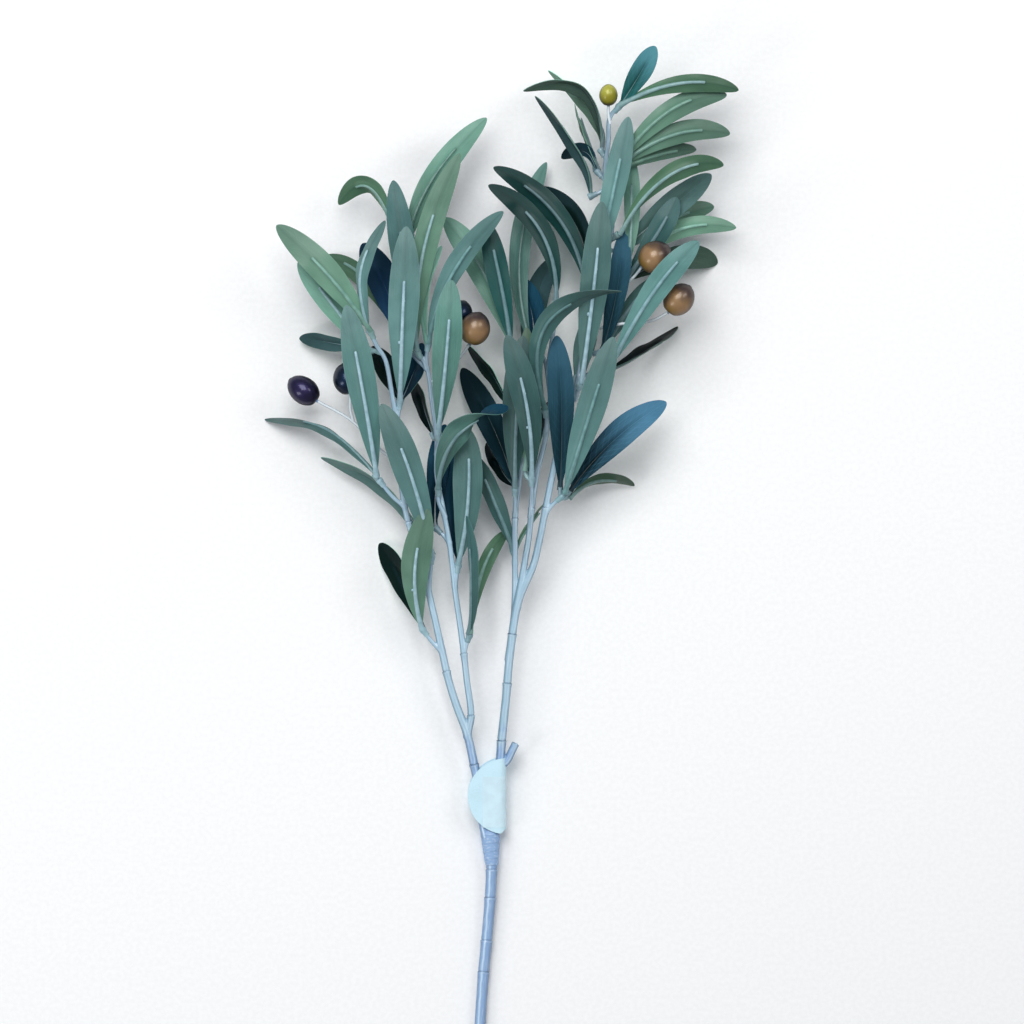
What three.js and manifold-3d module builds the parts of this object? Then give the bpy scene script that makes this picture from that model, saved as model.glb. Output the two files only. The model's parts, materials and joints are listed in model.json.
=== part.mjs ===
// Artificial olive spray with seven olives, lying on its back leaves.
// Millimetres, +Z up, +Y from the cut end of the stem to the leafy end.
// Three stems carry small moulded twigs; each twig ends in a collar that holds a sprig of leaves.

import * as THREE from 'three';
import { mergeVertices } from 'three/addons/utils/BufferGeometryUtils.js';
import Module from 'manifold-3d';

// ---- driving dimensions, mm ----

const gap = 0.3;                  // clearance between neighbouring pieces

const mainStemRadius = 3.3;
const wrapRadius = 5.7;           // tape wound round the fork
const branchRadius = { start: 2.9, end: 1.35 };
const innerRadius = { start: 2.1, end: 1.3 };
const twigRadius = { start: 1.35, end: 1.2 };
const stalkRadius = { start: 0.9, end: 0.75 };
const collarRadius = 1.75;        // raised ring at the end of a twig
const knuckle = { rise: 0.75, crest: 1.6, foot: 4.8 };  // a ring moulded round a stem
const collarLength = 2.6;
const collarSlope = 1.4;
const stemSides = 8;
const twigSides = 6;
const stemStep = 14;              // spacing of a stem's cross-sections

const beadRadius = 1.9;           // the knob that joins the leaves of one sprig
const petioleWidth = 2;
const oliveSteps = { along: 7, round: 12 };
const oliveBluntness = 0.92;      // 1 is a plain ellipse, and less is fuller at both ends
const ribHeight = { base: 1.1, tip: 0.3 };  // above the blade's edges
const bladeBack = 0.3;            // bulge of the blade on the side without the rib
const leafWidest = 0.6;           // as a share of the leaf's length
const leafStations = [0, 0.06, 0.16, 0.3, 0.45, 0.6, 0.78, 0.92];

const tagRadius = 23;
const tagCard = 0.5;              // thickness of the card
const tagInside = 3.7;            // half the room between the two halves of the folded card
const tagSlotLength = 12;         // cut in the fold for the twig behind it

// ---- colours ----

const stemPlastic = new THREE.MeshStandardMaterial({ color: 0xa9bfd2, roughness: 0.5 });
const leafCloth = new THREE.MeshStandardMaterial({ color: 0x5f8780, roughness: 0.75 });
const tagPaper = new THREE.MeshStandardMaterial({ color: 0xd3e9f5, roughness: 0.8 });
const oliveSkin = {
  green: new THREE.MeshStandardMaterial({ color: 0x8f9a3f, roughness: 0.35 }),
  gold: new THREE.MeshStandardMaterial({ color: 0x8a6a3c, roughness: 0.3 }),
  purple: new THREE.MeshStandardMaterial({ color: 0x2b2233, roughness: 0.25 }),
  navy: new THREE.MeshStandardMaterial({ color: 0x141c33, roughness: 0.25 }),
};

// ---- solids ----

const wasm = await Module();
wasm.setup();

function toSolid(geometry) {
  const plain = geometry.clone();
  plain.deleteAttribute('normal');
  plain.deleteAttribute('uv');
  const merged = mergeVertices(plain, 1e-4);
  return new wasm.Manifold(new wasm.Mesh({
    numProp: 3,
    vertProperties: new Float32Array(merged.attributes.position.array),
    triVerts: new Uint32Array(merged.index.array),
  }));
}

function toGeometry(solid) {
  const mesh = solid.getMesh();
  const geometry = new THREE.BufferGeometry();
  geometry.setAttribute('position', new THREE.BufferAttribute(mesh.vertProperties, 3));
  geometry.setIndex(new THREE.BufferAttribute(mesh.triVerts, 1));
  geometry.computeVertexNormals();
  return geometry;
}

function join(geometries) {
  return toGeometry(geometries.map(toSolid).reduce((whole, next) => whole.add(next)));
}

// A closed skin over rings of equal count, ending flat, or in a point where one is given.
function loft(rings, point) {
  const count = rings[0].length;
  const corners = rings.flat();
  const faces = [];
  for (let r = 0; r + 1 < rings.length; r += 1) {
    for (let i = 0; i < count; i += 1) {
      const a = r * count + i;
      const b = r * count + (i + 1) % count;
      faces.push(a, b + count, b, a, a + count, b + count);
    }
  }
  const last = (rings.length - 1) * count;
  for (let i = 1; i + 1 < count; i += 1) {
    faces.push(0, i, i + 1);
    if (!point) faces.push(last, last + i + 1, last + i);
  }
  if (point) {
    corners.push(point);
    for (let i = 0; i < count; i += 1) {
      faces.push(last + (i + 1) % count, last + i, corners.length - 1);
    }
  }
  const geometry = new THREE.BufferGeometry().setFromPoints(corners);
  geometry.setIndex(faces);
  geometry.computeVertexNormals();
  return geometry;
}

const at = (x, y, z) => new THREE.Vector3(x, y, z);
const up = at(0, 0, 1);

// Across and upward directions at a point that travels along `along`.
function crossFrame(along, turn = 0) {
  const side = new THREE.Vector3().crossVectors(along, up).normalize();
  const normal = new THREE.Vector3().crossVectors(side, along).normalize();
  const angle = THREE.MathUtils.degToRad(turn);
  side.applyAxisAngle(along, angle);
  normal.applyAxisAngle(along, angle);
  return { side, normal };
}

function place(centre, frame, across, upward) {
  return centre.clone().addScaledVector(frame.side, across).addScaledVector(frame.normal, upward);
}

// ---- stems ----

// A round tapered stem through the points. Knuckles are distances along it, and a collar
// is a raised ring at its far end. It stops short of its last point by `short`.
function stem(points, radius, { knuckles = [], collar = 0, short = 0, sides = stemSides } = {}) {
  const curve = new THREE.CatmullRomCurve3(points, false, 'centripetal');
  const length = curve.getLength() - short;
  const taper = (d) => THREE.MathUtils.lerp(radius.start, radius.end, d / length);
  const sections = [];
  const steps = Math.max(2, Math.round(length / stemStep));
  for (let i = 0; i <= steps; i += 1) {
    const d = (length * i) / steps;
    const nearKnuckle = knuckles.some((k) => Math.abs(k - d) < knuckle.foot);
    const nearCollar = collar && d > length - collarLength - 2 * collarSlope;
    if (!nearKnuckle && !nearCollar) sections.push([d, taper(d)]);
  }
  for (const k of knuckles) {
    const crest = taper(k) + knuckle.rise;
    sections.push([k - knuckle.foot / 2, taper(k)], [k - knuckle.crest / 2, crest]);
    sections.push([k + knuckle.crest / 2, crest], [k + knuckle.foot / 2, taper(k)]);
  }
  if (collar) {
    sections.push([length - collarLength - collarSlope, taper(length)]);
    sections.push([length - collarLength, collar], [length, collar]);
  }
  sections.sort((a, b) => a[0] - b[0]);
  const rings = sections.map(([d, r]) => {
    const u = d / curve.getLength();
    const centre = curve.getPointAt(u);
    const frame = crossFrame(curve.getTangentAt(u));
    return Array.from({ length: sides }, (_, i) => {
      const angle = (2 * Math.PI * i) / sides;
      return place(centre, frame, r * Math.cos(angle), r * Math.sin(angle));
    });
  });
  return loft(rings);
}

const intoSprig = { collar: collarRadius, short: beadRadius + gap };
const twig = (...points) => stem(points, twigRadius, { ...intoSprig, sides: twigSides });
const stalk = (...points) => stem(points, stalkRadius, { sides: twigSides });

// ---- olives ----

// An olive hangs on the point where its stalk ends; `heading` is the way its axis points.
function olive(name, stalkEnd, heading, length, width, skin) {
  const axis = heading.clone().normalize();
  const profile = [];
  for (let i = 0; i <= oliveSteps.along; i += 1) {
    const angle = (Math.PI * i) / oliveSteps.along;
    const radius = (width / 2) * Math.sin(angle) ** oliveBluntness;
    profile.push(new THREE.Vector2(i % oliveSteps.along ? radius : 0, (-length / 2) * Math.cos(angle)));
  }
  const mesh = new THREE.Mesh(new THREE.LatheGeometry(profile, oliveSteps.round), skin);
  mesh.name = name;
  mesh.position.copy(stalkEnd).addScaledVector(axis, length / 2 + gap);
  mesh.quaternion.setFromUnitVectors(at(0, 1, 0), axis);
  return mesh;
}

// ---- leaves ----

// How much of a leaf's full width it has at each fraction of its length: a long taper
// from the petiole to the widest place, and then a full, blunt tip.
function leafShare(t) {
  if (t < leafWidest) return (1 - (1 - t / leafWidest) ** 1.8) ** 0.8;
  return (1 - ((t - leafWidest) / (1 - leafWidest)) ** 2.2) ** 0.58;
}

// A leaf bends over `over`, halfway, to its tip. Its roll is the same all along, or one
// angle each for its base, middle and tip; at 0 the rib side looks up.
function leaf(over, tip, width, roll = 0) {
  const [rollBase, rollMiddle, rollTip] = Array.isArray(roll) ? roll : [roll, roll, roll];
  return (base) => {
    const bend = over.clone().multiplyScalar(2).addScaledVector(base, -0.5).addScaledVector(tip, -0.5);
    const curve = new THREE.QuadraticBezierCurve3(base, bend, tip);
    const rings = leafStations.map((t) => {
      const turn = t < 0.5
        ? THREE.MathUtils.lerp(rollBase, rollMiddle, 2 * t)
        : THREE.MathUtils.lerp(rollMiddle, rollTip, 2 * t - 1);
      const frame = crossFrame(curve.getTangent(t), turn);
      const half = Math.max(petioleWidth, width * leafShare(t)) / 2;
      const rib = THREE.MathUtils.lerp(ribHeight.base, ribHeight.tip, t);
      const centre = curve.getPoint(t);
      return [
        place(centre, frame, half, 0),
        place(centre, frame, 0, rib),
        place(centre, frame, -half, 0),
        place(centre, frame, 0, -bladeBack),
      ];
    });
    return loft(rings, tip);
  };
}

const branch = new THREE.Group();

function add(name, geometry, material) {
  const mesh = new THREE.Mesh(geometry, material);
  mesh.name = name;
  branch.add(mesh);
}

// One collar's leaves. Several leaves are joined by the bead at the collar; a loose leaf
// is a piece of its own that starts beside the bead.
function sprig(name, collar, joined, loose = []) {
  if (joined.length > 1) {
    const bead = new THREE.IcosahedronGeometry(beadRadius, 0).translate(...collar);
    add(`${name}_leaves`, join([bead, ...joined.map((shape) => shape(collar))]), leafCloth);
  } else if (joined.length) {
    add(`${name}_leaf`, joined[0](collar), leafCloth);
  }
  loose.forEach(([start, shape], i) => add(`${name}_leaf_${i + 1}`, shape(start), leafCloth));
}

// ---- collars, where the sprigs sit ----

const collars = {
  leftOuter1: at(-47, 237, 22),
  leftOuter2: at(-41, 281, 30),
  leftOuter3: at(-73, 327, 36),
  leftOuter4: at(-60, 374, 38),
  leftOuter5: at(-78, 416, 40),
  leftOuter6: at(-80, 405, 33),
  leftInner1: at(-18, 234, 24),
  leftInner2: at(-25, 276, 30),
  leftInner3: at(-37, 322, 38),
  leftInner4: at(-37, 355, 39),
  leftInner5: at(-50, 404, 41),
  leftInner6: at(-58, 409, 34),
  leftInner7: at(-43, 409, 41),
  leftInner8: at(-58, 464, 38),
  rightInner1: at(8, 284, 20),
  rightInner2: at(9, 322, 34),
  rightInner3: at(5, 370, 26),
  rightInner4: at(7, 406, 38),
  rightMiddle1: at(19, 328, 38),
  rightMiddle2: at(27, 369, 40),
  rightMiddle3: at(19, 407, 35),
  rightMiddle4: at(34, 435, 41),
  rightMiddle5: at(52, 442, 41),
  rightOuter1: at(38, 317, 37),
  rightOuter2: at(49, 385, 42),
  rightOuter3: at(66, 394, 40),
  rightOuter4: at(61, 403, 38),
  rightOuter5: at(57, 452, 45),
  rightOuter6: at(71, 474, 46),
  rightOuter7: at(72, 463, 36),
  rightOuter8: at(74, 445, 37),
  rightOuter9: at(77, 454, 43),
  rightOuter10: at(67, 511, 42),
  rightOuter11: at(72, 551, 46),
  rightOuter12: at(60, 525, 41),
  rightOuter13: at(58, 512, 39),
  rightOuter14: at(53, 496, 41),
};

// ---- stalk ends, where the olives hang ----

const stalkEnds = {
  top: at(65, 551, 46),
  rightUpper: at(85, 454, 51),
  rightLower: at(101, 427, 45),
  leftUpper: at(-18, 408, 47),
  leftLower: at(-27, 418, 37),
  outerFront: at(-110, 374, 31),
  outerBack: at(-90, 378, 31),
};

// ---- the pieces ----

function addStems() {
  const mainRoute = [
    at(-16, -64, 3.4), at(-12, 0, 3.6), at(-10, 29, 4), at(-8, 50, 4.6), at(-6, 74, 5.6), at(-5, 98, 7),
    at(-6, 112.5, 8.2),
  ];
  const wrapRoute = [at(-5, 94, 6.7), at(-5, 104, 7.5), at(-6, 112.5, 8.2)];
  add('main_stem', join([
    stem(mainRoute, { start: mainStemRadius, end: mainStemRadius }, { knuckles: [94, 113, 139, 156] }),
    stem(wrapRoute, { start: mainStemRadius + 0.4, end: wrapRadius }),
  ]), stemPlastic);

  const leftRoute = [
    at(-10, 119, 8.8), at(-12, 137, 11), at(-15, 152, 12.9), at(-20, 174, 15.5), at(-26, 190, 17),
    at(-31, 206, 18.5), at(-35, 224, 20), at(-43, 259, 24), at(-48, 278, 28), at(-56, 305, 32),
    at(-60, 329, 34.5), at(-62, 356, 36), at(-65, 379, 39.5), at(-69, 399, 40), at(-74, 407, 40),
    collars.leftOuter5,
  ];
  const leftInnerRoute = [
    at(-20, 171, 15), at(-17.5, 184, 17), at(-20, 206, 19.5), at(-22, 224, 22), at(-24, 239, 24),
    at(-27, 260, 27), at(-30, 286, 30), at(-34, 308, 31), at(-38, 330, 31), at(-38, 350, 33),
    at(-41, 374, 36), at(-44, 394, 38.5), collars.leftInner5,
  ];
  add('left_branch', join([
    stem(leftRoute, branchRadius, { knuckles: [37, 96, 190], ...intoSprig }),
    stem(leftInnerRoute, innerRadius, { knuckles: [14, 52], ...intoSprig }),
    twig(at(-35, 223, 20), at(-40, 228, 21), collars.leftOuter1),
    twig(at(-43, 258, 24), at(-42, 269, 27), collars.leftOuter2),
    twig(at(-57, 310, 33), at(-65, 317, 34), collars.leftOuter3),
    twig(at(-62, 358, 35.5), at(-61, 366, 37), collars.leftOuter4),
    twig(at(-22, 222, 22), at(-20, 228, 23), collars.leftInner1),
    twig(at(-27, 262, 27), at(-26, 269, 29), collars.leftInner2),
    twig(at(-33, 304, 31), at(-37, 314, 35), collars.leftInner3),
    twig(at(-30, 288, 30), at(-34, 293, 29), at(-39, 298, 27)),
    twig(at(-38, 342, 32), at(-37, 349, 36), collars.leftInner4),
    twig(at(-44, 393, 38), at(-51, 400, 36), collars.leftInner6),
    twig(at(-44, 393, 38), at(-44, 401, 40), collars.leftInner7),
    twig(at(-49, 399, 37), at(-54, 416, 35), at(-57, 438, 35), collars.leftInner8),
    stalk(at(-43, 384, 37), at(-33, 392, 37), at(-25, 399, 41), stalkEnds.leftUpper),
    stalk(at(-29, 395, 38.5), at(-26, 408, 37), stalkEnds.leftLower),
    stalk(at(-60, 337, 34.5), at(-70, 343, 34), at(-89, 362, 31), stalkEnds.outerFront),
    stalk(at(-88, 361, 31), at(-90, 369, 31), stalkEnds.outerBack),
  ]), stemPlastic);

  const rightRoute = [
    at(-3.4, 119, 8.8), at(-2, 137, 11), at(0, 157, 13.5), at(1, 170, 15), at(3.5, 194, 17), at(6, 222, 20),
    at(11, 253, 23), at(20, 275, 27), at(23, 287, 30), at(27, 307, 33), at(32, 332, 35), at(39, 362, 36),
    at(46, 383, 36), at(50, 404, 38), at(54, 424, 40), at(59, 446, 41), at(65, 467, 42), at(67, 478, 42),
    at(64, 497, 41), at(63, 512, 42), at(65, 530, 43), at(66, 544, 44), collars.rightOuter11,
  ];
  const rightInnerRoute = [
    at(5, 218, 19.5), at(8, 240, 20), at(9, 260, 22), at(9, 282, 25.5), at(9, 302, 27), at(13, 341, 28),
    at(13, 367, 30), at(10, 389, 34), collars.rightInner4,
  ];
  const rightMiddleRoute = [
    at(10, 249, 22.5), at(14, 272, 26), at(17, 290, 29), at(19, 308, 31), at(22, 330, 34), at(27, 350, 35.5),
    at(30, 372, 35.5), at(29, 392, 36), at(32, 416, 38), collars.rightMiddle4,
  ];
  add('right_branch', join([
    stem(rightRoute, branchRadius, { knuckles: [51, 86, 116, 196, 372], ...intoSprig }),
    stem(rightInnerRoute, innerRadius, { knuckles: [86], ...intoSprig }),
    stem(rightMiddleRoute, innerRadius, { knuckles: [62], ...intoSprig }),
    stem([at(0, 154, 13), at(4, 157, 13.4), at(7, 163, 14), at(9.5, 168, 14.6)], { start: 2.2, end: 2.4 }),
    twig(at(9, 276, 24.5), at(9, 280, 22.5), collars.rightInner1),
    twig(at(9, 304, 27), at(9, 314, 31.5), collars.rightInner2),
    twig(at(13, 354, 29), at(9, 364, 28), collars.rightInner3),
    twig(at(18, 304, 31), at(19, 318, 35), collars.rightMiddle1),
    twig(at(27, 353, 35.5), at(28, 361, 37.5), collars.rightMiddle2),
    twig(at(29, 388, 35), at(26, 400, 34.5), collars.rightMiddle3),
    twig(at(54, 426, 40), at(53, 434, 41), collars.rightMiddle5),
    twig(at(27, 306, 33), at(32, 312, 35), collars.rightOuter1),
    twig(at(45, 374, 36), at(47, 380, 38), collars.rightOuter2),
    twig(at(47, 388, 37), at(57, 391, 38), collars.rightOuter3),
    twig(at(50, 400, 38), at(55, 402, 38), collars.rightOuter4),
    twig(at(64, 464, 42), at(69, 464, 39), collars.rightOuter7),
    twig(at(59, 445, 41), at(67, 445, 40), collars.rightOuter8),
    twig(at(66, 445, 40), at(71, 448, 42), collars.rightOuter9),
    stalk(at(60, 446, 41), at(74, 444, 43), at(80, 448, 45), stalkEnds.rightUpper),
    stalk(at(53, 416, 39), at(72, 420, 40), at(91, 422, 43), stalkEnds.rightLower),
    twig(at(64, 502, 41.5), at(60, 499, 41), collars.rightOuter14),
    stalk(at(66, 540, 44), at(65, 546, 45), stalkEnds.top),
  ]), stemPlastic);
}

function addOlives() {
  branch.add(
    olive('olive_top', stalkEnds.top, at(0, 8, 3), 13, 11, oliveSkin.green),
    olive('olive_right_upper', stalkEnds.rightUpper, at(8, 6, 2), 20.5, 19, oliveSkin.gold),
    olive('olive_right_lower', stalkEnds.rightLower, at(5, 6, 1.4), 20.5, 17.5, oliveSkin.gold),
    olive('olive_left_upper', stalkEnds.leftUpper, at(3, 9, 2), 20, 18, oliveSkin.gold),
    olive('olive_left_lower', stalkEnds.leftLower, at(3, 8, 1), 17, 15, oliveSkin.navy),
    olive('olive_outer_front', stalkEnds.outerFront, at(-9, 7, -1), 21, 16, oliveSkin.purple),
    olive('olive_outer_back', stalkEnds.outerBack, at(-2, 9, -1), 19, 16.5, oliveSkin.navy),
  );
}

// A round card folded in half about the fork: a bent strip, cut round, with a slot for the cut twig.
function addTag() {
  const outside = tagInside + tagCard;
  const spare = 2;                // the strip runs this far past the round outline
  const strip = new THREE.Shape();
  strip.moveTo(-tagRadius - spare, -outside);
  strip.lineTo(0, -outside);
  strip.absarc(0, 0, outside, -Math.PI / 2, Math.PI / 2, false);
  strip.lineTo(-tagRadius - spare, outside);
  strip.lineTo(-tagRadius - spare, tagInside);
  strip.lineTo(0, tagInside);
  strip.absarc(0, 0, tagInside, Math.PI / 2, -Math.PI / 2, true);
  strip.lineTo(-tagRadius - spare, -tagInside);
  const depth = 2 * (tagRadius + spare);
  const bent = new THREE.ExtrudeGeometry(strip, { depth, bevelEnabled: false, curveSegments: 6 });
  bent.translate(-outside, 0, -depth / 2).rotateX(Math.PI / 2);
  const disc = new THREE.CylinderGeometry(tagRadius, tagRadius, 4 * outside, 32).rotateX(Math.PI / 2);
  const slot = new THREE.BoxGeometry(2 * outside, tagSlotLength, 2 * tagInside - gap);
  slot.translate(0, tagRadius - tagSlotLength / 4, 0);
  const solid = toSolid(bent).intersect(toSolid(disc)).subtract(toSolid(slot));
  const card = new THREE.Mesh(toGeometry(solid), tagPaper);
  card.name = 'tag';
  card.position.set(3.6, 136.5, 11);
  card.rotation.x = THREE.MathUtils.degToRad(7);
  branch.add(card);
}

function addLeftSprigs() {
  sprig('left_outer_1', collars.leftOuter1, [
    leaf(at(-51, 272, 38), at(-43, 309, 46), 17.5),
    leaf(at(-59, 266, 11.2), at(-73, 288, 0.2), 15, 150),
  ]);
  sprig('left_outer_2', collars.leftOuter2, [
    leaf(at(-53, 328, 50), at(-71, 372, 58), 18),
    leaf(at(-68, 318, 21), at(-108, 340, 12), 12, 120),
  ]);
  sprig('left_outer_3', collars.leftOuter3, [], [
    [at(-74, 329, 38), leaf(at(-82, 379, 58), at(-92, 431, 64), 18)],
    [at(-75, 328, 35), leaf(at(-103, 354, 22), at(-142, 363, 0), 11, 60)],
  ]);
  sprig('left_outer_4', collars.leftOuter4, [
    leaf(at(-58, 425, 62), at(-56, 478, 66), 18.5),
    leaf(at(-53, 389, 28), at(-47, 409, 20), 13, 150),
    leaf(at(-67, 389, 27), at(-77, 407, 17), 14, 200),
  ]);
  sprig('left_outer_5', collars.leftOuter5, [
    leaf(at(-102, 448, 52), at(-134, 479, 50), 17),
    leaf(at(-82, 449, 50), at(-69, 482, 44), 13, -50),
  ]);
  sprig('left_outer_6', collars.leftOuter6, [
    leaf(at(-100, 431, 39), at(-121, 458, 37), 15),
    leaf(at(-102, 409, 17), at(-121, 412, 7), 10, 165),
  ]);
  sprig('left_inner_1', collars.leftInner1, [
    leaf(at(-16, 265, 38), at(-20, 305, 45), 12, -60),
    leaf(at(-10, 273, 21), at(5, 296, 13), 9),
  ]);
  sprig('left_inner_2', collars.leftInner2, [
    leaf(at(-19, 317, 39), at(-20, 358, 42), 18),
    leaf(at(-27, 308, 22), at(-28, 343, 21), 13, 180),
  ]);
  sprig('left_inner_3', collars.leftInner3, [
    leaf(at(-25, 354, 57), at(5, 370, 54), 16, [0, 10, 160]),
  ], [
    [at(-39, 298, 27), leaf(at(-38, 330, 22), at(-33, 360, 20), 13, 180)],
  ]);
  sprig('left_inner_4', collars.leftInner4, [
    leaf(at(-32, 401, 60), at(-29, 446, 64), 17.5),
  ], [
    [at(-41, 353, 30), leaf(at(-47, 372, 24), at(-55, 389, 16), 11, 130)],
  ]);
  sprig('left_inner_5', collars.leftInner5, [
    leaf(at(-57, 455, 50), at(-64, 506, 52), 16),
    leaf(at(-46, 463, 53), at(-24, 522, 56), 15),
  ]);
  sprig('left_inner_6', collars.leftInner6, [
    leaf(at(-68, 440, 22), at(-83, 469, 13), 19, 180),
    leaf(at(-80, 446, 14), at(-107, 461, 0), 12, 20),
  ]);
  sprig('left_inner_7', collars.leftInner7, [
    leaf(at(-28, 451, 58), at(2, 487, 62), 13, 10),
    leaf(at(-46, 440, 45), at(-35, 467, 40), 10, -50),
  ]);
  sprig('left_inner_8', collars.leftInner8, [], [
    [at(-56, 466, 38), leaf(at(-41, 506, 36), at(-8, 544, 30), 15)],
    [at(-60, 466, 38), leaf(at(-77, 502, 34), at(-97, 492, 26), 13, [-60, -50, 0])],
  ]);
}

function addRightSprigs() {
  sprig('right_inner_1', collars.rightInner1, [
    leaf(at(-2, 312, 23), at(-17, 343, 26), 12, -25),
    leaf(at(17, 300, 19), at(29, 314, 20), 7, 80),
  ]);
  sprig('right_inner_2', collars.rightInner2, [
    leaf(at(10, 368, 43), at(14, 413, 46), 17),
    leaf(at(-1, 334, 24), at(-8, 349, 18), 9, 140),
    leaf(at(-4, 358, 19), at(-23, 394, 7), 16, 180),
  ]);
  sprig('right_inner_3', collars.rightInner3, [
    leaf(at(-5, 388, 22), at(-20, 408, 14), 11, 120),
  ]);
  sprig('right_inner_4', collars.rightInner4, [
    leaf(at(0, 446, 46), at(-8, 482, 50), 14),
    leaf(at(-9, 449, 36), at(-34, 484, 32), 17),
  ]);
  sprig('right_middle_1', collars.rightMiddle1, [
    leaf(at(16, 371, 56), at(4, 413, 60), 17),
  ], [
    [at(17, 329, 32), leaf(at(22, 352, 27), at(30, 374, 22), 11, 130)],
    [at(15, 332, 36), leaf(at(18, 374, 40), at(16, 418, 41), 13)],
  ]);
  sprig('right_middle_2', collars.rightMiddle2, [
    leaf(at(28, 420, 58), at(73, 439, 70), 13, [0, 5, 80]),
    leaf(at(20, 422, 17), at(35, 462, 14), 15, 180),
  ]);
  sprig('right_middle_3', collars.rightMiddle3, [
    leaf(at(12, 462, 26), at(28, 518, 10), 13),
    leaf(at(19, 427, 28), at(10, 449, 21), 16, 180),
  ]);
  sprig('right_middle_4', collars.rightMiddle4, [
    leaf(at(25, 475, 52), at(-7, 503, 50), 14, -20),
  ]);
  sprig('right_middle_5', collars.rightMiddle5, [
    leaf(at(34, 485, 46), at(-4, 514, 42), 14, -20),
    leaf(at(46, 479, 32), at(21, 502, 24), 14, 190),
  ]);
  sprig('right_outer_1', collars.rightOuter1, [], [
    [at(39, 319, 39), leaf(at(53, 364, 58), at(68, 412, 63), 17.5)],
    [at(41, 318, 37), leaf(at(67, 349, 42), at(100, 373, 40), 17, 180)],
    [at(36, 320, 38), leaf(at(37, 368, 46), at(34, 413, 48), 16, 180)],
    [at(41, 316, 34), leaf(at(61, 327, 20), at(81, 323, 8), 9, 50)],
  ]);
  sprig('right_outer_2', collars.rightOuter2, [
    leaf(at(56, 440, 58), at(61, 493, 63), 17.5),
  ], [
    [at(45, 387, 32), leaf(at(50, 405, 28), at(54, 426, 23), 13, 180)],
  ]);
  sprig('right_outer_3', collars.rightOuter3, [
    leaf(at(92, 439, 60), at(119, 469, 67), 15.5),
    leaf(at(87, 404, 22), at(107, 419, 0), 12, 115),
  ]);
  sprig('right_outer_4', collars.rightOuter4, [
    leaf(at(70, 439, 46), at(74, 477, 45), 13, 180),
    leaf(at(79, 431, 30), at(95, 448, 24), 10),
  ]);
  sprig('right_outer_5', collars.rightOuter5, [
    leaf(at(68, 500, 52), at(77, 544, 54), 14.5),
  ]);
  sprig('right_outer_6', collars.rightOuter6, [
    leaf(at(101, 509, 54), at(134, 515, 54), 12.5, [50, 20, 10]),
  ]);
  sprig('right_outer_7', collars.rightOuter7, [
    leaf(at(99, 487, 34), at(127, 510, 33), 16, 180),
    leaf(at(103, 483, 21), at(129, 491, 16), 12),
  ]);
  sprig('right_outer_8', collars.rightOuter8, [
    leaf(at(93, 472, 40), at(106, 496, 42), 14),
    leaf(at(106, 460, 20), at(131, 457, 0), 15, 180),
  ]);
  sprig('right_outer_9', collars.rightOuter9, [], [
    [at(77, 455, 44), leaf(at(79, 488, 40), at(78, 524, 32), 10)],
    [at(80, 457, 34), leaf(at(108, 477, 28), at(142, 478, 29), 11.5)],
  ]);
  sprig('right_outer_10', collars.rightOuter10, [
    leaf(at(101, 547, 50), at(136, 557, 46), 13.5),
    leaf(at(103, 533, 43), at(138, 534, 40), 13.5),
    leaf(at(96, 522, 36), at(118, 525, 30), 9, 20),
  ]);
  sprig('right_outer_11', collars.rightOuter11, [
    leaf(at(83, 568, 55), at(93, 586, 60), 13, 180),
    leaf(at(109, 564, 54), at(143, 560, 48), 11),
  ]);
  sprig('right_outer_12', collars.rightOuter12, [
    leaf(at(49, 560, 42), at(14, 560, 36), 11, 125),
    leaf(at(56, 545, 32), at(29, 573, 18), 10, 120),
  ]);
  sprig('right_outer_13', collars.rightOuter13, [
    leaf(at(50, 536, 26), at(45, 553, 16), 8, 95),
    leaf(at(50, 524, 32), at(37, 520, 22), 9, 180),
  ]);
  sprig('right_outer_14', collars.rightOuter14, [
    leaf(at(46, 524, 42), at(21, 557, 34), 10, 120),
  ]);
}

addStems();
addOlives();
addTag();
addLeftSprigs();
addRightSprigs();

// The origin is under the middle of the whole spray, on the surface that it lies on.
const box = new THREE.Box3().setFromObject(branch, true);
const middle = box.getCenter(new THREE.Vector3());
branch.position.set(-middle.x, -middle.y, -box.min.z);

const group = new THREE.Group();
group.add(branch);

export default group;
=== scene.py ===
"""Artificial olive spray: cloth leaves on moulded stems, hanging olives and a folded card tag.

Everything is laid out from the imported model. Metres, +Z up, +Y from the cut end to the leafy end.
"""
import json
import math
import random

import bmesh
import bpy
import numpy as np
from bpy.props import FloatProperty, FloatVectorProperty, PointerProperty
from mathutils import Matrix, Vector
from mathutils.kdtree import KDTree


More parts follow.
